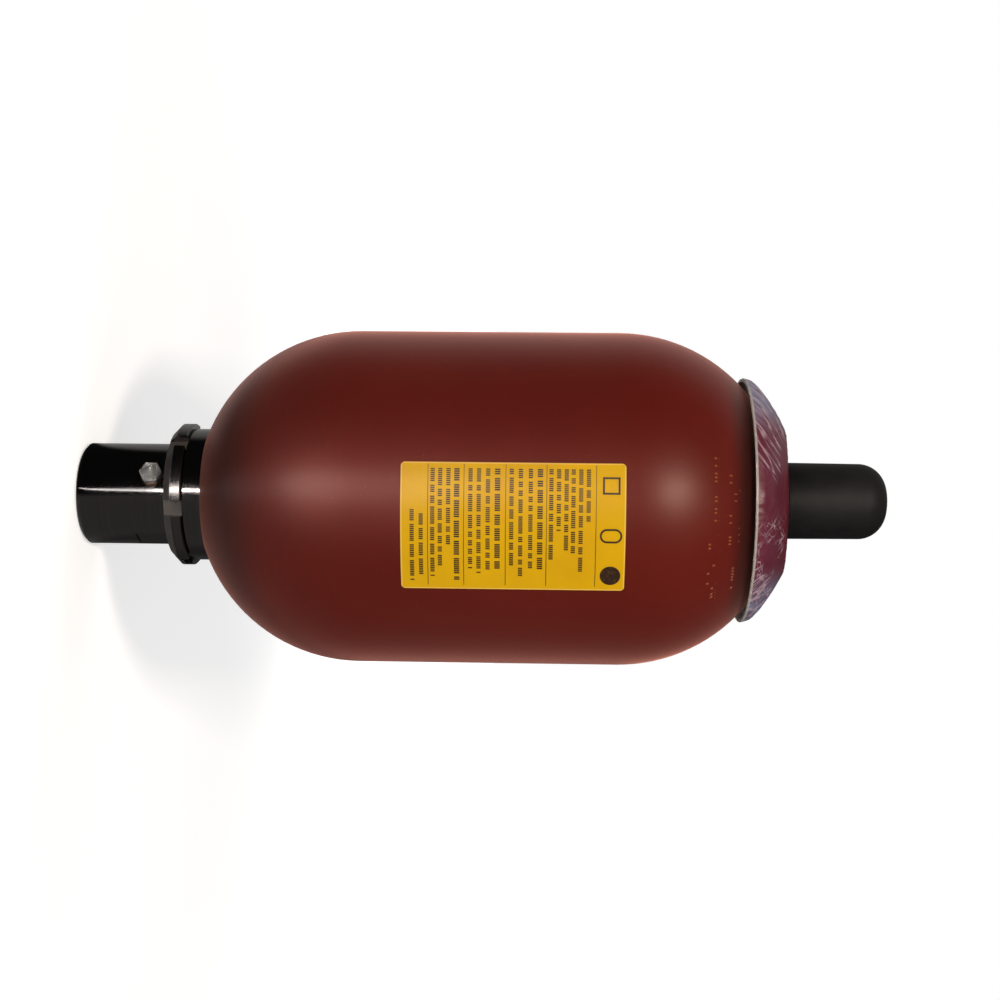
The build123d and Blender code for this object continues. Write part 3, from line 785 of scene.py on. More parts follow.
@dataclass(frozen=True)
class BlackSteel:
    """Turned steel, blackened, with its lathe marks, worn edges and greased screw threads."""

    name: str = "black_steel"
    body: Colour = (0.115, 0.104, 0.100)
    greyed: Colour = (0.150, 0.136, 0.128)
    bare: Colour = (0.420, 0.400, 0.380)
    dusty: Colour = (0.088, 0.076, 0.064)
    gloss: float = 0.07
    edges: tuple[Pair, ...] = ()
    dusty_below: float = 0.0
    dusty_chamfer: Pair = (0.0, 0.0)
    thread_pitch: float = 0.0
    thread_span: Pair = (0.0, 0.0)
    thread_within: float = 1.0
    wear_width: float = 0.8 * MM

    def _dust(self, sheet: FinishSheet) -> Socket:
        """Gather dust on the floors of the nut's slots and on its chamfer.

        Args:
            sheet: the steel's node tree.

        Returns:
            The dust, as a mask.
        """
        axial = sheet.effect(EFFECTS.axial)
        floor = sheet.step(axial["Radius"], self.dusty_below + 0.6 * MM, self.dusty_below)
        slope = sheet.less(axial["Radius"], axial["Height"])
        corner = self.dusty_chamfer[0] - self.dusty_chamfer[1]
        chamfer = sheet.step(slope, corner - 0.4 * MM, corner)
        spots = sheet.step(sheet.grain(240.0, 5.0, 0.65), 0.25, 0.65)
        covered = sheet.higher(sheet.product(floor, 0.9), sheet.product(chamfer, 0.55))
        return sheet.product(covered, spots)

    def material(self) -> Material:
        """Build the material.

        Returns:
            The steel, under its own name.
        """
        sheet = FinishSheet(self.name, metal=1.0)
        turning = sheet.effect(EFFECTS.turning, Density=2600.0, Wander=0.15)
        base = sheet.ramp(turning["Shade"], [(0.3, self.body), (0.8, self.greyed)])
        dust = sheet.effect(EFFECTS.dust, Scale=800.0, Amount=0.5)
        base = sheet.mix(sheet.product(dust["Smears"], 0.5), base, self.greyed)
        for radius, height in self.edges:
            wear = sheet.effect(EFFECTS.edge_wear, Radius=radius, Height=height, Width=self.wear_width)
            base = sheet.mix(sheet.product(wear["Mask"], 0.5), base, self.bare)
        rough = sheet.blend_values(turning["Shade"], self.gloss, self.gloss + 0.08)
        if self.dusty_below:
            covered = self._dust(sheet)
            base = sheet.mix(covered, base, self.dusty)
            rough = sheet.sum(rough, sheet.product(covered, 0.4))
            sheet.set("Metallic", sheet.less(1.0, covered))
        sheet.set("Base Color", base)
        sheet.set("Roughness", rough)
        sheet.bump(turning["Height"], 0.006 * MM, 0.6)
        if self.thread_pitch:
            sheet.thread(self.thread_pitch, *self.thread_span, self.thread_within)
        return sheet.material


@dataclass(frozen=True)
class TurnedFinish:
    """A turned or pressed piece: cloudy patches, turning marks and, if asked for, a screw thread."""

    name: str
    body: Colour
    dull: Colour
    gloss: float = 0.28
    gloss_spread: float = 0.14
    metal: float = 1.0
    specular: float = 0.5
    clouds: Pair = (85.0, 6.0)
    cloud_stops: Pair = (0.3, 0.75)
    marks: float = 1800.0
    wander: float = 0.2
    marked: float = 0.35
    mark_bump: Pair = (0.01 * MM, 0.7)
    face_of: Pair | None = None
    thread_pitch: float = 0.0
    thread_span: Pair = (0.0, 0.0)

    @staticmethod
    def _face_rings(sheet: FinishSheet, angle: float, height: float) -> Socket:
        """Lay facing marks, rings round a sideways axis.

        Args:
            sheet: the finish's node tree.
            angle: the way that the axis points, in radians about the part's own axis.
            height: the height of the axis.

        Returns:
            The marks' height.
        """
        x, y, z = sheet.parts(sheet.place)
        across = sheet.less(sheet.product(y, math.cos(angle)), sheet.product(x, math.sin(angle)))
        away = sheet.length(across, sheet.less(z, height))
        return sheet.noise(sheet.vector(sheet.product(away, 2600.0), 0.0, 0.0), 1.0, 3.0, 0.6)

    def material(self) -> Material:
        """Build the material.

        Returns:
            The finish, under its own name.
        """
        sheet = FinishSheet(self.name, self.metal, self.specular)
        turning = sheet.effect(EFFECTS.turning, Density=self.marks, Wander=self.wander)
        clouds = sheet.grain(*self.clouds, 0.6)
        stops = list(zip(self.cloud_stops, (self.body, self.dull)))
        base = sheet.ramp(clouds, stops, Ramp.SMOOTH)
        sheet.set("Base Color", sheet.mix(sheet.product(turning["Shade"], self.marked), base, self.dull))
        sheet.rough(clouds, self.gloss, self.gloss + self.gloss_spread)
        if self.face_of is None:
            sheet.bump(turning["Height"], *self.mark_bump)
        else:
            sheet.bump(self._face_rings(sheet, *self.face_of), 0.3 * MM)
        if self.thread_pitch:
            sheet.thread(self.thread_pitch, *self.thread_span)
        return sheet.material


@dataclass(frozen=True)
class MouldedRubber:
    """Black moulded rubber, matte, with fine grain, bloom and handling dust."""

    name: str
    body: Colour = (0.0045, 0.0043, 0.0045)
    bloom: Colour = (0.0110, 0.0105, 0.0108)
    speck: Colour = (0.10, 0.095, 0.09)
    gloss: float = 0.5
    grain: float = 1400.0

    def material(self) -> Material:
        """Build the material.

        Returns:
            The rubber, under its own name.
        """
        sheet = FinishSheet(self.name, specular=0.22)
        clouds = sheet.grain(40.0, 6.0, 0.6, 0.4)
        base = sheet.ramp(clouds, [(0.35, self.body), (0.8, self.bloom)], Ramp.SMOOTH)
        dust = sheet.effect(EFFECTS.dust, Scale=900.0, Amount=0.5)
        sheet.set("Base Color", sheet.mix(dust["Specks"], base, self.speck))
        sheet.rough(clouds, self.gloss, self.gloss + 0.15)
        sheet.bump(sheet.grain(self.grain, 4.0, 0.6), 0.04 * MM, 0.6)
        return sheet.material


@dataclass(frozen=True)
class WrapFilm:
    """Purple protective film: wine red where it is tight, pale blue where slack, with painted highlights
    on its folds.
    """

    wine: Colour = (0.092, 0.0055, 0.0150)
    violet: Colour = (0.120, 0.0210, 0.0440)
    slack: Colour = (0.165, 0.200, 0.300)
    # Pale pink painted on the folds as their highlights.
    fold_highlight: Colour = (0.460, 0.320, 0.370)
    edge: Colour = (0.420, 0.370, 0.340)
    gloss: float = 0.33
    slack_from: Pair = (30 * MM, 55 * MM)
    folded_from: Pair = (36 * MM, 44 * MM)
    middle: Pair = (4 * MM, -10 * MM)
    rolled: Pair = (1.3 * MM, 0.9 * MM)

    @staticmethod
    def _streaks(sheet: FinishSheet, along: float, across: float, lean: float, spread: float) -> Socket:
        """Draw thin broken lines that lean across the film.

        Args:
            sheet: the film's node tree.
            along: how often the lines change in their own direction, per metre.
            across: how often they change from one to the next, per metre.
            lean: their lean from the side to side line, in radians.
            spread: how wide they are, as a share of the noise.

        Returns:
            The lines, as a mask.
        """
        x, y, z = sheet.parts(sheet.place)
        with_line = sheet.sum(sheet.product(x, math.cos(lean)), sheet.product(z, math.sin(lean)))
        over_line = sheet.less(sheet.product(z, math.cos(lean)), sheet.product(x, math.sin(lean)))
        depth = sheet.sum(sheet.product(y, 9.0), lean)
        spot = sheet.vector(sheet.product(with_line, along), sheet.product(over_line, across), depth)
        lines = sheet.noise(spot, 1.0, 2.0, 0.5, 0.12)
        away = sheet.math("ABSOLUTE", sheet.less(lines, 0.5))
        return sheet.step(away, spread, 0.25 * spread)

    def _folds(self, sheet: FinishSheet, radius: Socket, side: Socket, ends: Socket) -> Socket:
        """Draw the folds: slanted on one side, crossed on the other, and long at one end.

        Args:
            sheet: the film's node tree.
            radius: a point's distance from the axis.
            side: its place from side to side.
            ends: how near it is to either end of that line.

        Returns:
            The folds, as a mask.
        """
        one_side = sheet.step(side, *self.middle)
        other_side = sheet.less(1.0, one_side)
        slanted = self._streaks(sheet, 36.0, 300.0, 0.66, 0.050)
        crossed = sheet.higher(self._streaks(sheet, 60.0, 300.0, -0.80, 0.046),
                               self._streaks(sheet, 90.0, 280.0, 0.45, 0.022))
        long_lines = self._streaks(sheet, 22.0, 330.0, 0.80, 0.060)
        folds = sheet.higher(sheet.product(slanted, one_side), sheet.product(crossed, other_side))
        folds = sheet.higher(folds, sheet.product(long_lines, ends, one_side))
        patch = sheet.step(sheet.grain(55.0, 2.0, 0.5), 0.40, 0.54)
        loose = sheet.step(radius, *self.folded_from)
        off_middle = sheet.math("ABSOLUTE", sheet.sum(side, 2 * MM))
        return sheet.product(folds, patch, loose, sheet.step(off_middle, 4 * MM, 12 * MM))

    def material(self, rim: float, low: float) -> Material:
        """Build the material.

        Args:
            rim: the radius of the film's rim.
            low: the height of its rim.

        Returns:
            The film's material.
        """
        sheet = FinishSheet("film", specular=0.45)
        axial = sheet.effect(EFFECTS.axial)
        side = sheet.parts(sheet.place)[0]
        outward = sheet.step(axial["Radius"], 0.45 * rim, 0.95 * rim)
        tint = sheet.grain(60.0, 5.0, 0.6)
        cloudy = sheet.product(sheet.less(tint, 0.5), 1.1)
        purple = sheet.math("ADD", sheet.product(outward, 0.55), cloudy, clamp=True)
        base = sheet.mix(purple, self.wine, self.violet)
        ends = sheet.step(sheet.math("ABSOLUTE", side), *self.slack_from)
        mottled = sheet.step(sheet.grain(75.0, 4.0, 0.6), 0.26, 0.56)
        base = sheet.mix(sheet.product(ends, mottled, 0.9), base, self.slack)
        folds = self._folds(sheet, axial["Radius"], side, ends)
        # Painted highlight: the folds are lightened where light would catch their ridges.
        base = sheet.mix(sheet.product(folds, 0.6), base, self.fold_highlight)
        rolled = sheet.step(axial["Height"], *(low + up for up in self.rolled))
        sheet.set("Base Color", sheet.mix(sheet.product(rolled, 0.85), base, self.edge))
        sheet.rough(tint, self.gloss, self.gloss + 0.2)
        sheet.bump(folds, 0.3 * MM, 0.7)
        sheet.bump(sheet.grain(240.0, 4.0, 0.6, 0.6), 0.4 * MM, 0.4)
        return sheet.material


@dataclass(frozen=True)
class LabelVinyl:
    """Yellow printed vinyl with a pale cut edge and scuffs."""

    body: Colour = (0.640, 0.365, 0.0010)
    deep: Colour = (0.570, 0.305, 0.0010)
    edge: Colour = (0.860, 0.560, 0.1400)

    def material(self) -> Material:
        """Build the material.

        Returns:
            The vinyl.
        """
        sheet = FinishSheet("label_yellow", specular=0.2)
        axial = sheet.effect(EFFECTS.axial)
        clouds = sheet.grain(26.0, 5.0, 0.55)
        base = sheet.ramp(clouds, [(0.35, self.body), (0.85, self.deep)], Ramp.SMOOTH)
        low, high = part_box("label")
        sides = (LABEL_ANGLE - LABEL_HALF_ANGLE, LABEL_ANGLE + LABEL_HALF_ANGLE)
        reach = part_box("shell")[1].x
        for value, end, scale in (("Height", low.z, 1.0), ("Height", high.z, 1.0),
                                  ("Angle", sides[0], reach), ("Angle", sides[1], reach)):
            away = sheet.math("ABSOLUTE", sheet.less(axial[value], end))
            near = sheet.step(sheet.product(away, scale), 0.8 * MM, 0.4 * MM)
            base = sheet.mix(sheet.product(near, 0.55), base, self.edge)
        dust = sheet.effect(EFFECTS.dust, Scale=900.0, Amount=0.35)
        base = sheet.mix(sheet.product(dust["Smears"], 0.3), base, self.deep)
        sheet.set("Base Color", base)
        sheet.rough(clouds, 0.26, 0.40)
        sheet.bump(sheet.grain(700.0, 3.0, 0.5), 0.02 * MM, 0.5)
        sheet.bump(sheet.grain(60.0, 2.0, 0.5), 0.1 * MM, 0.3)
        return sheet.material


@dataclass(frozen=True)
class PrintInk:
    """Dark brown screen ink with thin places."""

    body: Colour = (0.026, 0.009, 0.003)
    thin: Colour = (0.085, 0.045, 0.008)

    def material(self) -> Material:
        """Build the material.

        Returns:
            The ink.
        """
        sheet = FinishSheet("print_black", specular=0.4)
        cover = sheet.grain(520.0, 5.0, 0.6)
        sheet.set("Base Color", sheet.ramp(cover, [(0.45, self.body), (0.85, self.thin)], Ramp.SMOOTH))
        sheet.rough(cover, 0.35, 0.5)
        return sheet.material


# ---------------------------------------------------------------- sub-assemblies


@dataclass
class CoilSpring:
    """A compression spring with closed, ground ends, riding on its body."""

    node: str
    body: str
    joint: str
    keep: float
    wire: float
    turns: float
    closed: float = 0.9
    steps_a_turn: int = 28
    wire_sides: int = 14

    def __post_init__(self) -> None:
        """Take the spring's ends and its coil's radius and rise from its CAD solid."""
        low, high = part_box(self.node)
        grind = 0.3 * self.wire
        self.low, self.high = low.z, high.z
        self.radius = (high.x - low.x - self.wire) / 2
        self.start = low.z - grind + self.wire / 2
        self.rise = high.z - low.z - self.wire + 2 * grind

    def _risen(self, share: float) -> float:
        """Work out how far the wire has risen, with a flat turn at each end.

        Args:
            share: how far along its turns, 0 to 1.

        Returns:
            The share of its rise, 0 to 1.
        """
        end = self.closed / self.turns
        flat = 0.5 * self.wire / self.rise
        if share <= end:
            return flat * share / end
        if share >= 1 - end:
            return 1 - flat * (1 - share) / end
        middle = (share - end) / (1 - 2 * end)
        return flat + (1 - 2 * flat) * middle

    def build(self, material: Material) -> Piece:
        """Model the coil from one circle that a screw sweeps round, then grind its ends flat.

        Args:
            material: the spring's finish.

        Returns:
            The spring, riding on its body.
        """
        coil = add_piece(f"{self.node}_coil", bpy.ops.mesh.primitive_circle_add, vertices=self.wire_sides,
                         radius=self.wire / 2, location=(self.radius, 0, 0), rotation=(math.pi / 2, 0, 0))
        settle(coil)
        steps = round(self.turns * self.steps_a_turn)
        screw = coil.modifiers.new("sweep", "SCREW")
        screw.angle = FULL_TURN * self.turns
        screw.screw_offset = self.rise
        screw.steps = screw.render_steps = steps
        screw.use_merge_vertices = False
        apply_modifiers(coil)
        for index, vertex in enumerate(coil.data.vertices):
            share = (index // self.wire_sides) / steps
            vertex.co.z += self.start + self.rise * (self._risen(share) - share)
        self._grind(coil)
        face_outwards(coil)
        coil.data.validate()
        bpy.ops.object.shade_smooth_by_angle(angle=math.radians(40))
        paint(coil, material)
        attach(coil, self.body)
        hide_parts(self.node)
        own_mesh(coil)
        log.info("made %s: %d faces", coil.name, len(coil.data.polygons))
        return coil

    def _grind(self, coil: Piece) -> None:
        """Cut the coil flat at both ends and close the cuts.

        Args:
            coil: the swept coil.
        """
        make_active(coil)
        for height, clear_under in ((self.low, True), (self.high, False)):
            with whole_mesh():
                bpy.ops.mesh.bisect(plane_co=(0, 0, height), plane_no=(0, 0, 1), use_fill=True,
                                    clear_inner=clear_under, clear_outer=not clear_under)


@dataclass
class PlateFilm:
    """The crinkled film over the dished plate: flat and tight in the middle, gathered down at the rim."""

    sides: int = 540
    flat_radius: float = 36.6 * MM
    flat_rings: int = 11
    flat_dip: float = 0.8 * MM
    slope_start: Pair = (1.4 * MM, 0.5 * MM)
    slope_rings: int = 26
    slope_straight: float = 0.74
    shoulder: Pair = (1.9 * MM, 4.9 * MM)
    skirt: tuple[Pair, ...] = ((1.35, 4.1), (0.9, 3.1), (0.6, 2.2), (0.3, 1.3), (0.1, 0.6), (0.25, 0.1))
    thickness: float = 0.12 * MM
    crinkle: float = 0.8 * MM
    fold_sweep: float = 50 * MM
    fold_scale: Pair = (35.0, 190.0)
    fold_sharpness: float = 3.2
    patch_scale: float = 45.0
    skirt_height: float = 5 * MM
    headroom: float = 0.25 * MM
    plain_lean: float = 0.38
    crossed_leans: Pair = (-0.75, 0.95)
    long_lean: float = 1.45
    sag: float = 3.5 * MM
    sag_span: Pair = (22 * MM, 38 * MM)
    flutter: float = 0.35 * MM
    flutter_scale: Pair = (24.0, 200.0)

    def __post_init__(self) -> None:
        """Take the film's rim, top and hole from the CAD solids round it."""
        low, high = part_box("protective_film")
        self.low = low.z
        self.top = high.z - 0.35 * MM
        self.rim = high.x - 0.2 * MM
        self.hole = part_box("stem_lock_nut")[1].x + 0.9 * MM

    def _profile(self) -> list[Pair]:
        """Draw the film's section, from its hole to its rim.

        Returns:
            Its points, each a radius and a height.
        """
        points = []
        for step in range(self.flat_rings):
            share = step / self.flat_rings
            points.append((self.hole + (self.flat_radius - self.hole) * share,
                           self.top - self.flat_dip * (1 - share) ** 3))
        start, corner = self.flat_radius + self.slope_start[0], self.top - self.slope_start[1]
        end, drop = self.rim - self.shoulder[0], corner - (self.low + self.shoulder[1])
        for step in range(self.slope_rings + 1):
            share = step / self.slope_rings
            fall = self.slope_straight * share + (1 - self.slope_straight) * share ** 2.2
            points.append((start + (end - start) * share, corner - drop * fall))
        for inside, height in self.skirt:
            points.append((self.rim - inside * MM, self.low + height * MM))
        return points

    def build(self, material: Material) -> Piece:
        """Model the film: a ring of edges pulled out over the plate, crinkled, given its thickness.

        Args:
            material: the film's finish.

        Returns:
            The film, riding on the vessel and standing for its CAD solid.
        """
        points = self._profile()
        film = add_piece("plate_film", bpy.ops.mesh.primitive_circle_add, vertices=self.sides,
                         radius=points[0][0], location=(0, 0, points[0][1]))
        settle(film)
        with whole_mesh():
            for (radius, height), (next_radius, next_height) in zip(points, points[1:]):
                bpy.ops.mesh.extrude_edges_move(
                    TRANSFORM_OT_translate={"value": (0, 0, next_height - height)})
                growth = next_radius / radius
                bpy.ops.transform.resize(value=(growth, growth, 1), center_override=(0, 0, next_height))
        self._crinkle(film)
        face_outwards(film)
        wall = film.modifiers.new("thickness", "SOLIDIFY")
        wall.thickness = self.thickness
        wall.offset = 1
        apply_modifiers(film)
        bpy.ops.object.shade_smooth_by_angle(angle=math.radians(35))
        paint(film, material)
        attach(film, "vessel")
        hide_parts("protective_film")
        return film

    def _ridges(self, along: float, across: float, *leans: float) -> float:
        """Work out how high folds stand at a place.

        Args:
            along: the place, measured round the film.
            across: the place, measured out from the axis.
            leans: the lean of each run of folds, in radians.

        Returns:
            The height of the highest run's fold there, 0 to 1.
        """
        heights = []
        for lean in leans:
            with_line = along * math.cos(lean) + across * math.sin(lean)
            over_line = across * math.cos(lean) - along * math.sin(lean)
            spot = Vector((with_line * self.fold_scale[0], over_line * self.fold_scale[1], lean))
            heights.append(max(1 - self.fold_sharpness * abs(noise.noise(spot)), 0.0) ** 2)
        return max(heights)

    def _crinkle(self, film: Piece) -> None:
        """Raise folds, larger towards the rim, let two sides sag, and flutter the rim.

        Args:
            film: the smooth film.
        """
        inner, outer = 0.5 * self.flat_radius, 0.75 * self.rim
        for vertex in film.data.vertices:
            x, y, z = vertex.co
            radius, angle = math.hypot(x, y), math.atan2(y, x)
            outward = clamp((radius - inner) / (outer - inner))
            sweep = self.fold_sweep * angle
            folds = self._ridges(sweep, radius, *((self.plain_lean,) if x < 0 else self.crossed_leans))
            folds = max(folds, abs(x) / self.rim * self._ridges(sweep, radius, self.long_lean))
            spot = Vector((x * self.patch_scale, y * self.patch_scale, 5.0))
            patch = max(0.55 + 0.8 * noise.noise(spot), 0.15)
            skirt = clamp((z - self.low) / self.skirt_height, 0.12)
            lift = self.crinkle * folds * (0.12 + 0.88 * outward) * patch * skirt
            across_sag = clamp((radius - self.sag_span[0]) / self.sag_span[1])
            sunk = self.sag * math.sin(math.pi * across_sag) ** 2 * math.sin(angle) ** 2
            vertex.co.z += min(lift, self.top + self.headroom - z) - sunk
            if radius > 0.94 * self.rim:
                round_scale, up_scale = self.flutter_scale
                out = Vector((math.cos(angle), math.sin(angle), 0.0))
                spot = Vector((out.x * round_scale, out.y * round_scale, vertex.co.z * up_scale))
                vertex.co += out * (self.flutter * (noise.noise(spot) - 0.5))


@dataclass(frozen=True)
class PrintRow:
    """One row of plain ticks on the label: its height, start, length and weight, in millimetres."""

    height: float
    start: float
    length: float
    bold: bool = False


class LabelSign(Enum):
    """The plain signs at the label's far end, each with its corners and its radius in millimetres."""

    SQUARE = (4, 5.7)
    CAPSULE = (32, 3.4)
    DISC = (48, 4.8)


@dataclass
class LabelPrint:
    """The label's print, in millimetres: thin rules, rows of plain ticks in runs and three plain signs."""

    rows: tuple[PrintRow, ...] = (
        PrintRow(5.3, 22.1, 35.0), PrintRow(9.5, 24.0, 31.0),
        PrintRow(14.8, 2.9, 52.0), PrintRow(18.3, 2.9, 46.0), PrintRow(22.1, 2.9, 36.0),
        PrintRow(26.0, 2.9, 54.0, True),
        PrintRow(32.3, 2.9, 48.0), PrintRow(36.2, 2.9, 50.0), PrintRow(40.4, 2.9, 48.0),
        PrintRow(44.8, 2.9, 47.5, True),
        PrintRow(51.3, 2.9, 47.0), PrintRow(55.5, 2.9, 51.0), PrintRow(60.1, 2.9, 48.0),
        PrintRow(64.5, 2.9, 48.0, True),
        PrintRow(69.6, 2.9, 44.0), PrintRow(73.1, 2.9, 29.0), PrintRow(76.6, 2.9, 38.0),
        PrintRow(79.8, 2.9, 41.0), PrintRow(83.3, 2.9, 50.0), PrintRow(86.8, 2.9, 24.0),
    )
    rules: tuple[float, ...] = (12.65, 29.3, 48.6, 67.5, 90.3)
    rule_step: int = 2
    rule_end: int = 60
    rule_height: float = 0.28
    sign_height: float = 97.3
    sign_shares: tuple[float, ...] = (0.17, 0.55, 0.87)
    sign_line: float = 0.9
    capsule_stretch: float = 1.8
    tick: Pair = (0.62, 1.95)
    bold_tick: Pair = (0.62 * 1.15, 2.5)
    tick_gap: float = 0.30
    run_gap: float = 1.35
    run_ticks: tuple[int, int] = (3, 9)
    lift: float = 0.06
    seed: int = 11

    def __post_init__(self) -> None:
        """Take the label's place from its CAD solid."""
        self.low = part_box("label")[0].z
        self.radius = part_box("shell")[1].x + 0.23 * MM
        self.arc = 2 * LABEL_HALF_ANGLE * self.radius
        self.start_angle = LABEL_ANGLE - LABEL_HALF_ANGLE

    def _place(self, along: float, height: float) -> Matrix:
        """Work out how a flat mark is laid on the label.

        Args:
            along: the mark's middle, in metres of arc from the label's starting edge.
            height: its height above the label's lower edge, in millimetres.

        Returns:
            The matrix that takes a mark from the origin, where it faces along X, to its place.
        """
        turn = Matrix.Rotation(self.start_angle + along / self.radius, 4, "Z")
        return turn @ Matrix.Translation((self.radius, 0, self.low + height * MM))

    def _bar(self, mark: Piece, along: float, height: float, size: Pair) -> Piece:
        """Copy the plain mark as a bar on the label.

        Args:
            mark: the plain mark.
            along: the bar's middle, in millimetres of arc.
            height: its height above the label's lower edge.
            size: its width and its height.

        Returns:
            The bar.
        """
        scale = Matrix.Diagonal((1, size[0] * MM, size[1] * MM, 1))
        return copy_of(mark, self._place(along * MM, height) @ scale)

    def _row(self, mark: Piece, row: PrintRow, chance: random.Random) -> list[Piece]:
        """Lay one row of equal upright ticks, in runs of chance lengths.

        Args:
            mark: the plain mark.
            row: where the row stands, how long it is and how bold.
            chance: the draws that give the runs their lengths.

        Returns:
            The row's ticks.
        """
        size = self.bold_tick if row.bold else self.tick
        wide = size[0]
        ticks = []
        along, end = row.start, row.start + row.length
        while along + wide < end:
            for _ in range(chance.randint(*self.run_ticks)):
                if along + wide > end:
                    break
                ticks.append(self._bar(mark, along + wide / 2, row.height, size))
                along += wide + self.tick_gap
            along += self.run_gap
        return ticks

    def _signs(self) -> Piece:
        """Model the three signs: a square and a capsule in outline and a filled disc.

        Returns:
            The signs, as one piece.
        """
        signs = []
        lay = Matrix(((0, 0, 1, 0), (0, 1, 0, 0), (1, 0, 0, 0), (0, 0, 0, 1)))
        for share, sign in zip(self.sign_shares, LabelSign):
            corners, radius = sign.value
            outline = add_piece("sign", bpy.ops.mesh.primitive_circle_add, vertices=corners,
                                radius=radius * MM, fill_type="NGON")
            if sign is LabelSign.SQUARE:
                outline.data.transform(Matrix.Rotation(math.pi / 4, 4, "Z"))
            if sign is LabelSign.CAPSULE:
                for vertex in outline.data.vertices:
                    vertex.co.x += math.copysign(self.capsule_stretch * MM, vertex.co.x)
            with whole_mesh():
                if sign is not LabelSign.DISC:
                    bpy.ops.mesh.inset(thickness=self.sign_line * MM, depth=0)
                    bpy.ops.mesh.delete(type="FACE")
                    bpy.ops.mesh.select_all(action="SELECT")
                bpy.ops.mesh.extrude_region_move(
                    TRANSFORM_OT_translate={"value": (0, 0, 2 * self.lift * MM)})
            face_outwards(outline)
            outline.data.transform(Matrix.Translation((0, 0, -self.lift * MM)))
            outline.data.transform(self._place(share * self.arc, self.sign_height) @ lay)
            signs.append(outline)
        return join_pieces(signs, "label_print_signs")

    def build(self, material: Material) -> list[Piece]:
        """Lay the print on the label.

        Args:
            material: the ink's finish.

        Returns:
            The print's pieces: one for each strip, one for the rules and one for the signs.
        """
        chance = random.Random(self.seed)
        mark = add_piece("mark", bpy.ops.mesh.primitive_cube_add, size=1, location=(0, 0, 0))
        mark.scale = (2 * self.lift * MM, 1, 1)
        settle(mark)
        pieces: list[Piece] = []
        edges = (0.0, *self.rules)
        for number, (low, high) in enumerate(zip(edges, edges[1:]), start=1):
            inside = [row for row in self.rows if low < row.height < high]
            ticks = [tick for row in inside for tick in self._row(mark, row, chance)]
            pieces.append(join_pieces(ticks, f"label_print_strip_{number}"))
        rules = [self._bar(mark, along, rule, (self.rule_step + 0.05, self.rule_height))
                 for rule in self.rules for along in range(self.rule_step, self.rule_end, self.rule_step)]
        pieces.append(join_pieces(rules, "label_print_rules"))
        pieces.append(self._signs())
        bpy.data.objects.remove(mark)
        for piece in pieces:
            paint(piece, material)
            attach(piece, "vessel")
            log.info("made %s: %d faces", piece.name, len(piece.data.polygons))
        for piece in pieces:
            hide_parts("label_print")
        return pieces


# ---------------------------------------------------------------- studio


@dataclass(frozen=True)
class ViewCamera:
    """The camera: on the -Y side with the vessel's axis lying across the picture."""

    aim_height: float = 0.205
    distance: float = 0.7807143
    aside: float = -0.0085215
    down: float = -0.0013565
    lens: float = 54.4014
    yaw: float = 0.0267
    roll: float = 0.0114

    def build(self) -> Piece:
        """Place the camera and make it the scene's own.

        Returns:
            The camera.
        """
        yaw_cos, yaw_sin = math.cos(self.yaw), math.sin(self.yaw)
        roll_cos, roll_sin = math.cos(self.roll), math.sin(self.roll)
        right = Vector((-roll_sin, yaw_sin * roll_cos, yaw_cos * roll_cos))
        below = Vector((roll_cos, yaw_sin * roll_sin, yaw_cos * roll_sin))
        ahead = Vector((0, yaw_cos, -yaw_sin))
        aim = Vector((0, 0, self.aim_height))
        camera = add_piece("view_camera", bpy.ops.object.camera_add)
        camera.data.lens = self.lens
        camera.data.sensor_width = 36.0
        place = aim - right * self.aside - below * self.down - ahead * self.distance
        turn = Matrix((right, -below, -ahead)).transposed()
        camera.matrix_world = Matrix.Translation(place) @ turn.to_4x4()
        bpy.context.scene.camera = camera
        return camera


@dataclass(frozen=True)
class SoftBox:
    """A studio lamp with an oblong face, that no camera ray sees."""

    name: str
    place: tuple[float, float, float]
    towards: tuple[float, float, float]
    size: Pair
    power: float
    tint: Colour = (1.0, 1.0, 1.0)
    reflected: bool = True

    def build(self) -> Piece:
        """Add the lamp and point it.

        Returns:
            The lamp.
        """
        lamp = add_piece(self.name, bpy.ops.object.light_add, type="AREA", location=self.place)
        lamp.data.shape = "RECTANGLE"
        lamp.data.size, lamp.data.size_y = self.size
        lamp.data.energy = self.power
        lamp.data.color = self.tint
        look = Vector(self.towards) - Vector(self.place)
        lamp.rotation_euler = look.to_track_quat("-Z", "Y").to_euler()
        lamp.visible_camera = False
        lamp.visible_glossy = self.reflected
        lamp.data.cycles.use_multiple_importance_sampling = self.reflected
        return lamp


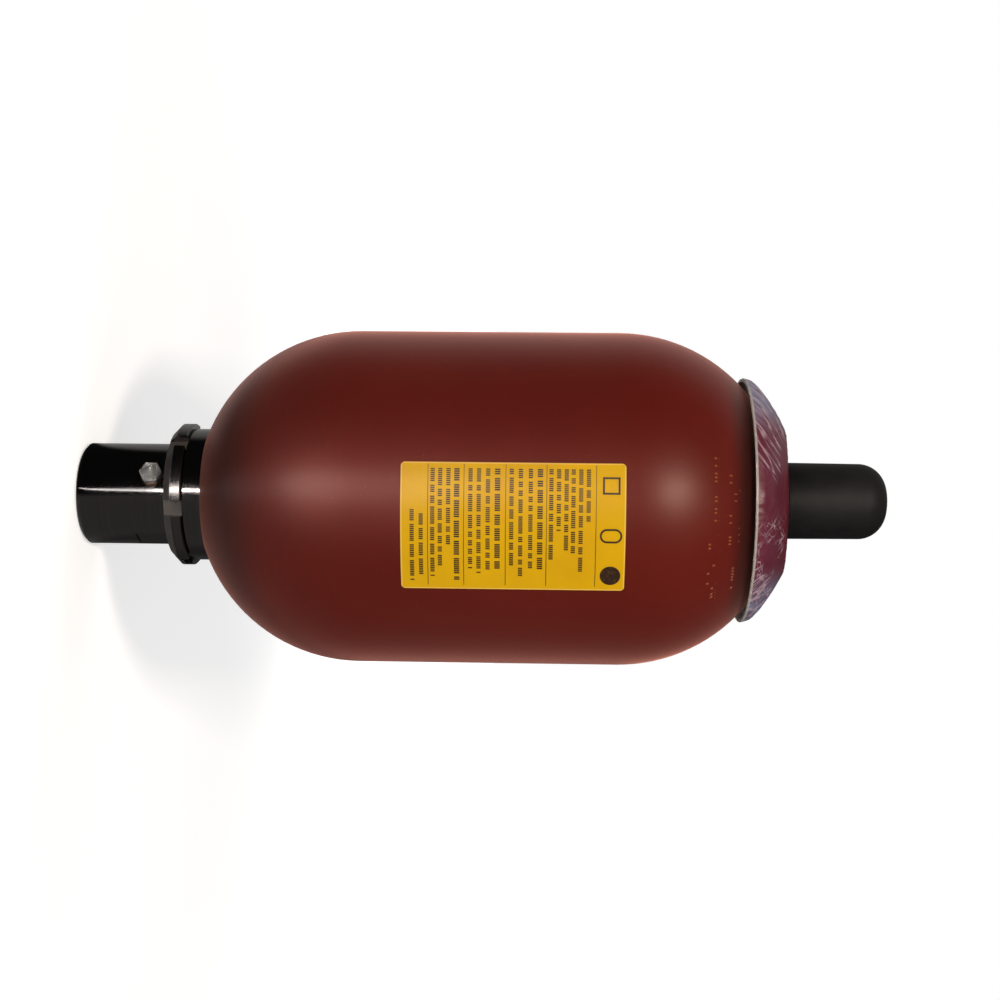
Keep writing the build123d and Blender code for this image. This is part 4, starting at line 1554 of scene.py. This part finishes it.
@dataclass(frozen=True)
class Studio:
    """The white sweep, the dim tent and strip that only reflections see, the lamps and the world."""

    ambient: float = 0.26
    floor_size: float = 14.0
    floor_white: float = 0.88
    floor_lift: Pair = (0.46, 0.98)
    floor_reach: Pair = (0.3, 1.2)
    tent_radius: float = 2.4
    tent_start: float = 0.6 * MM
    tent_turn: Pair = (-0.02, 0.14)
    tent_right: Pair = (0.15, 0.07)
    tent_right_turn: Pair = (1.5, 2.0)
    tent_left: Pair = (0.014, 0.36)
    tent_left_turn: Pair = (-1.75, -2.10)
    strip_angle: float = math.radians(-6.0)
    strip_height: float = 1.2 * MM
    strip_start: float = 28 * MM
    strip_end: float = 2.3
    strip_spread: float = 0.026
    strip_glow: Pair = (9.5, 74.0)
    strip_reach: Pair = (0.16, 0.24)
    strip_near: Colour = (0.96, 0.98, 1.0)
    strip_far: Colour = (1.0, 0.95, 0.92)
    lamps: tuple[SoftBox, ...] = (
        SoftBox("key_box", (-0.10, -0.92, 0.92), (0.0, 0.0, 0.30), (0.16, 0.12), 7.2, (1.0, 0.87, 0.75)),
        SoftBox("front_fill", (0.3, -2.2, 1.2), (0.0, 0.0, 0.2), (1.8, 1.4), 8.0, reflected=False),
        SoftBox("right_fill", (1.9, -0.9, 0.9), (0.0, 0.0, 0.2), (1.4, 1.4), 10.0, reflected=False),
        SoftBox("left_fill", (-1.9, 0.8, 0.9), (0.0, 0.0, 0.2), (1.4, 1.4), 12.0, reflected=False),
    )

    def build(self) -> None:
        """Build the whole studio."""
        bpy.context.scene.view_settings.view_transform = "Standard"
        self._floor()
        self._tent()
        self._strip()
        self._world()
        for lamp in self.lamps:
            lamp.build()

    @staticmethod
    def _seen_in_reflections_only(stage: Piece) -> None:
        """Hide a stage piece from everything but reflections.

        Args:
            stage: the piece.
        """
        stage.visible_camera = stage.visible_diffuse = False
        stage.visible_transmission = stage.visible_shadow = False

    def _floor(self) -> None:
        """Lay the white floor, which reads white to the camera and keeps the object's shadow."""
        floor = add_piece("studio_floor", bpy.ops.mesh.primitive_plane_add, size=self.floor_size)
        sheet = GlowSheet("studio_white")
        cover = sheet.add("ShaderNodeBsdfDiffuse")
        cover.inputs["Color"].default_value = (*[self.floor_white] * 3, 1)
        lift = sheet.blend_values(sheet.step(sheet.from_origin(), *self.floor_reach), *self.floor_lift)
        sheet.link(sheet.product(sheet.seen_directly(), lift), sheet.glow.inputs["Strength"])
        both = sheet.add("ShaderNodeAddShader")
        sheet.link(cover.outputs[0], both.inputs[0])
        sheet.link(sheet.glow.outputs[0], both.inputs[1])
        sheet.link(both.outputs[0], sheet.surface)
        paint(floor, sheet.material)

    def _tent(self) -> None:
        """Hang the dim tent that keeps dark gloss dark, with its sides and back paler."""
        tent = add_piece("studio_tent", bpy.ops.mesh.primitive_uv_sphere_add, segments=48, ring_count=24,
                         radius=self.tent_radius)
        with whole_mesh():
            bpy.ops.mesh.bisect(plane_co=(0, 0, self.tent_start), plane_no=(0, 0, 1), use_fill=True,
                                clear_inner=True)
        sheet = GlowSheet("tent_grey")
        x, y, _ = sheet.parts(sheet.add("ShaderNodeTexCoord").outputs["Object"])
        turn = sheet.math("ARCTAN2", x, sheet.product(y, -1.0))
        right_level = sheet.blend_values(sheet.step(turn, *self.tent_right_turn), *self.tent_right)
        left_level = sheet.blend_values(sheet.step(turn, *self.tent_left_turn), *self.tent_left)
        level = sheet.blend_values(sheet.step(turn, *self.tent_turn), left_level, right_level)
        sheet.link(level, sheet.glow.inputs["Strength"])
        sheet.material.cycles.emission_sampling = "NONE"
        paint(tent, sheet.material)
        self._seen_in_reflections_only(tent)

    def _strip(self) -> None:
        """Lay the thin strip of light that runs in over the floor to the port."""
        strip = add_piece("studio_strip", bpy.ops.mesh.primitive_plane_add, size=2)
        turn = Matrix.Rotation(self.strip_angle, 4, "Z")
        for vertex in strip.data.vertices:
            reach = self.strip_start if vertex.co.y > 0 else self.strip_end
            half = self.strip_spread * (reach - self.strip_start + 1 * MM)
            vertex.co = turn @ Vector((math.copysign(half, vertex.co.x), -reach, self.strip_height))
        sheet = GlowSheet("strip_white")
        far = sheet.step(sheet.from_origin(), *self.strip_reach)
        sheet.link(sheet.blend_values(far, *self.strip_glow), sheet.glow.inputs["Strength"])
        sheet.link(sheet.mix(far, self.strip_near, self.strip_far), sheet.glow.inputs["Color"])
        paint(strip, sheet.material)
        self._seen_in_reflections_only(strip)

    def _world(self) -> None:
        """Make the world white to the camera and in reflections, and plain daylight elsewhere."""
        world = bpy.data.worlds.new("studio_world")
        bpy.context.scene.world = world
        world.use_nodes = True
        sheet = NodeSheet(world.node_tree)
        sheet.tree.nodes.clear()
        sky = sheet.add("ShaderNodeBackground")
        sky.inputs["Color"].default_value = (1, 1, 1, 1)
        sheet.link(sheet.blend_values(sheet.seen_directly(), self.ambient, 1.0), sky.inputs["Strength"])
        world.cycles.sampling_method = "NONE"
        sheet.link(sky.outputs[0], sheet.add("ShaderNodeOutputWorld").inputs["Surface"])


# ---------------------------------------------------------------- the whole part


def dress_cad_nodes() -> None:
    """Give every CAD node that stays its own finish, leaving its mesh as it is."""
    nut_low, nut_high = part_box("port_lock_nut")
    nut_chamfer = 4 * MM
    spacer_low, spacer_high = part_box("spacer_ring")
    screw_low, screw_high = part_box("vent_screw")
    stem_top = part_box("gas_valve_stem")[1].z
    finishes = (
        (VesselPaint(), "shell"),
        (BlackSteel("black_steel_port", edges=((24.5 * MM, 0.0), (26 * MM, 2 * MM), (21 * MM, 0.0)),
                    thread_pitch=2.309 * MM, thread_span=(1 * MM, 21.5 * MM), thread_within=19.6 * MM),
         "oil_valve_body"),
        (BlackSteel("black_steel_nut", gloss=0.2, dusty_below=nut_high.x - 4.6 * MM,
                    dusty_chamfer=(nut_high.x, nut_low.z + nut_chamfer),
                    edges=((nut_high.x, nut_high.z), (nut_high.x - nut_chamfer, nut_low.z))),
         "port_lock_nut"),
        (BlackSteel("black_steel_spacer", edges=((spacer_high.x, spacer_low.z),)), "spacer_ring"),
        (TurnedFinish("steel", (0.42, 0.40, 0.38), (0.20, 0.19, 0.175), metal=0.7),
         "valve_plate", "damping_sleeve", "retaining_ring_halves", "seal_washer"),
        (TurnedFinish("steel_stem", (0.46, 0.44, 0.42), (0.22, 0.21, 0.20), thread_pitch=1.5 * MM,
                      thread_span=(stem_top - 21 * MM, stem_top - 1 * MM)), "gas_valve_stem"),
        (TurnedFinish("zinc_steel", (0.66, 0.67, 0.66), (0.44, 0.45, 0.44), gloss=0.3, metal=0.55),
         "poppet_lock_nut", "stem_lock_nut", "cap_nut"),
        (TurnedFinish("zinc_screw", (0.72, 0.72, 0.70), (0.46, 0.46, 0.45), gloss=0.2, metal=0.88,
                      face_of=(VENT_ANGLE, (screw_low.z + screw_high.z) / 2)), "vent_screw"),
        (TurnedFinish("copper_seal", (0.105, 0.050, 0.034), (0.055, 0.030, 0.022)), "vent_seal_ring"),
        (TurnedFinish("core_brass", (0.60, 0.43, 0.17), (0.38, 0.26, 0.10)),
         "valve_core_body", "valve_core_pin"),
        (MouldedRubber("seal_rubber", gloss=0.34),
         "port_o_ring", "cap_seal_ring", "valve_core_seal", "retaining_ring_rubber"),
        (MouldedRubber("bladder_rubber", grain=700.0), "bladder"),
        (MouldedRubber("cap_rubber"), "protection_cap"),
        (TurnedFinish("ptfe", (0.74, 0.73, 0.70), (0.58, 0.56, 0.50), gloss=0.38, gloss_spread=0.12,
                      metal=0.0, clouds=(70.0, 5.0), cloud_stops=(0.4, 0.85), marks=900.0, marked=0.0,
                      mark_bump=(0.02 * MM, 0.5)), "support_ring"),
        (TurnedFinish("plate_metal", (0.80, 0.76, 0.68), (0.62, 0.58, 0.50), gloss=0.34, gloss_spread=0.16,
                      metal=0.15, specular=0.4, clouds=(60.0, 6.0), marks=1200.0, wander=0.3, marked=0.4,
                      mark_bump=(0.01 * MM, 0.6)), "data_plate"),
        (LabelVinyl(), "label"),
    )
    for finish, *names in finishes:
        material = finish.material()
        for name in names:
            paint(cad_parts[name], material)
            log.info("dressed node %s with %s", name, material.name)


def main() -> None:
    """Build and dress the accumulator, then its camera and studio."""
    logging.basicConfig(level=logging.INFO, format="%(name)s: %(message)s")
    dress_cad_nodes()
    wire = TurnedFinish("spring_steel", (0.16, 0.155, 0.15), (0.07, 0.068, 0.065), gloss=0.3).material()
    CoilSpring("poppet_spring", "vessel", "poppet_slide", 36 / 44, 2 * MM, 6.5).build(wire)
    CoilSpring("valve_core_spring", "vessel", "core_pin_press", 3 / 5, 0.5 * MM, 4.5).build(wire)
    film = PlateFilm()
    film.build(WrapFilm().material(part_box("protective_film")[1].x, film.low))
    LabelPrint().build(PrintInk().material())
    ViewCamera().build()
    Studio().build()


if __name__ == "__main__":
    main()
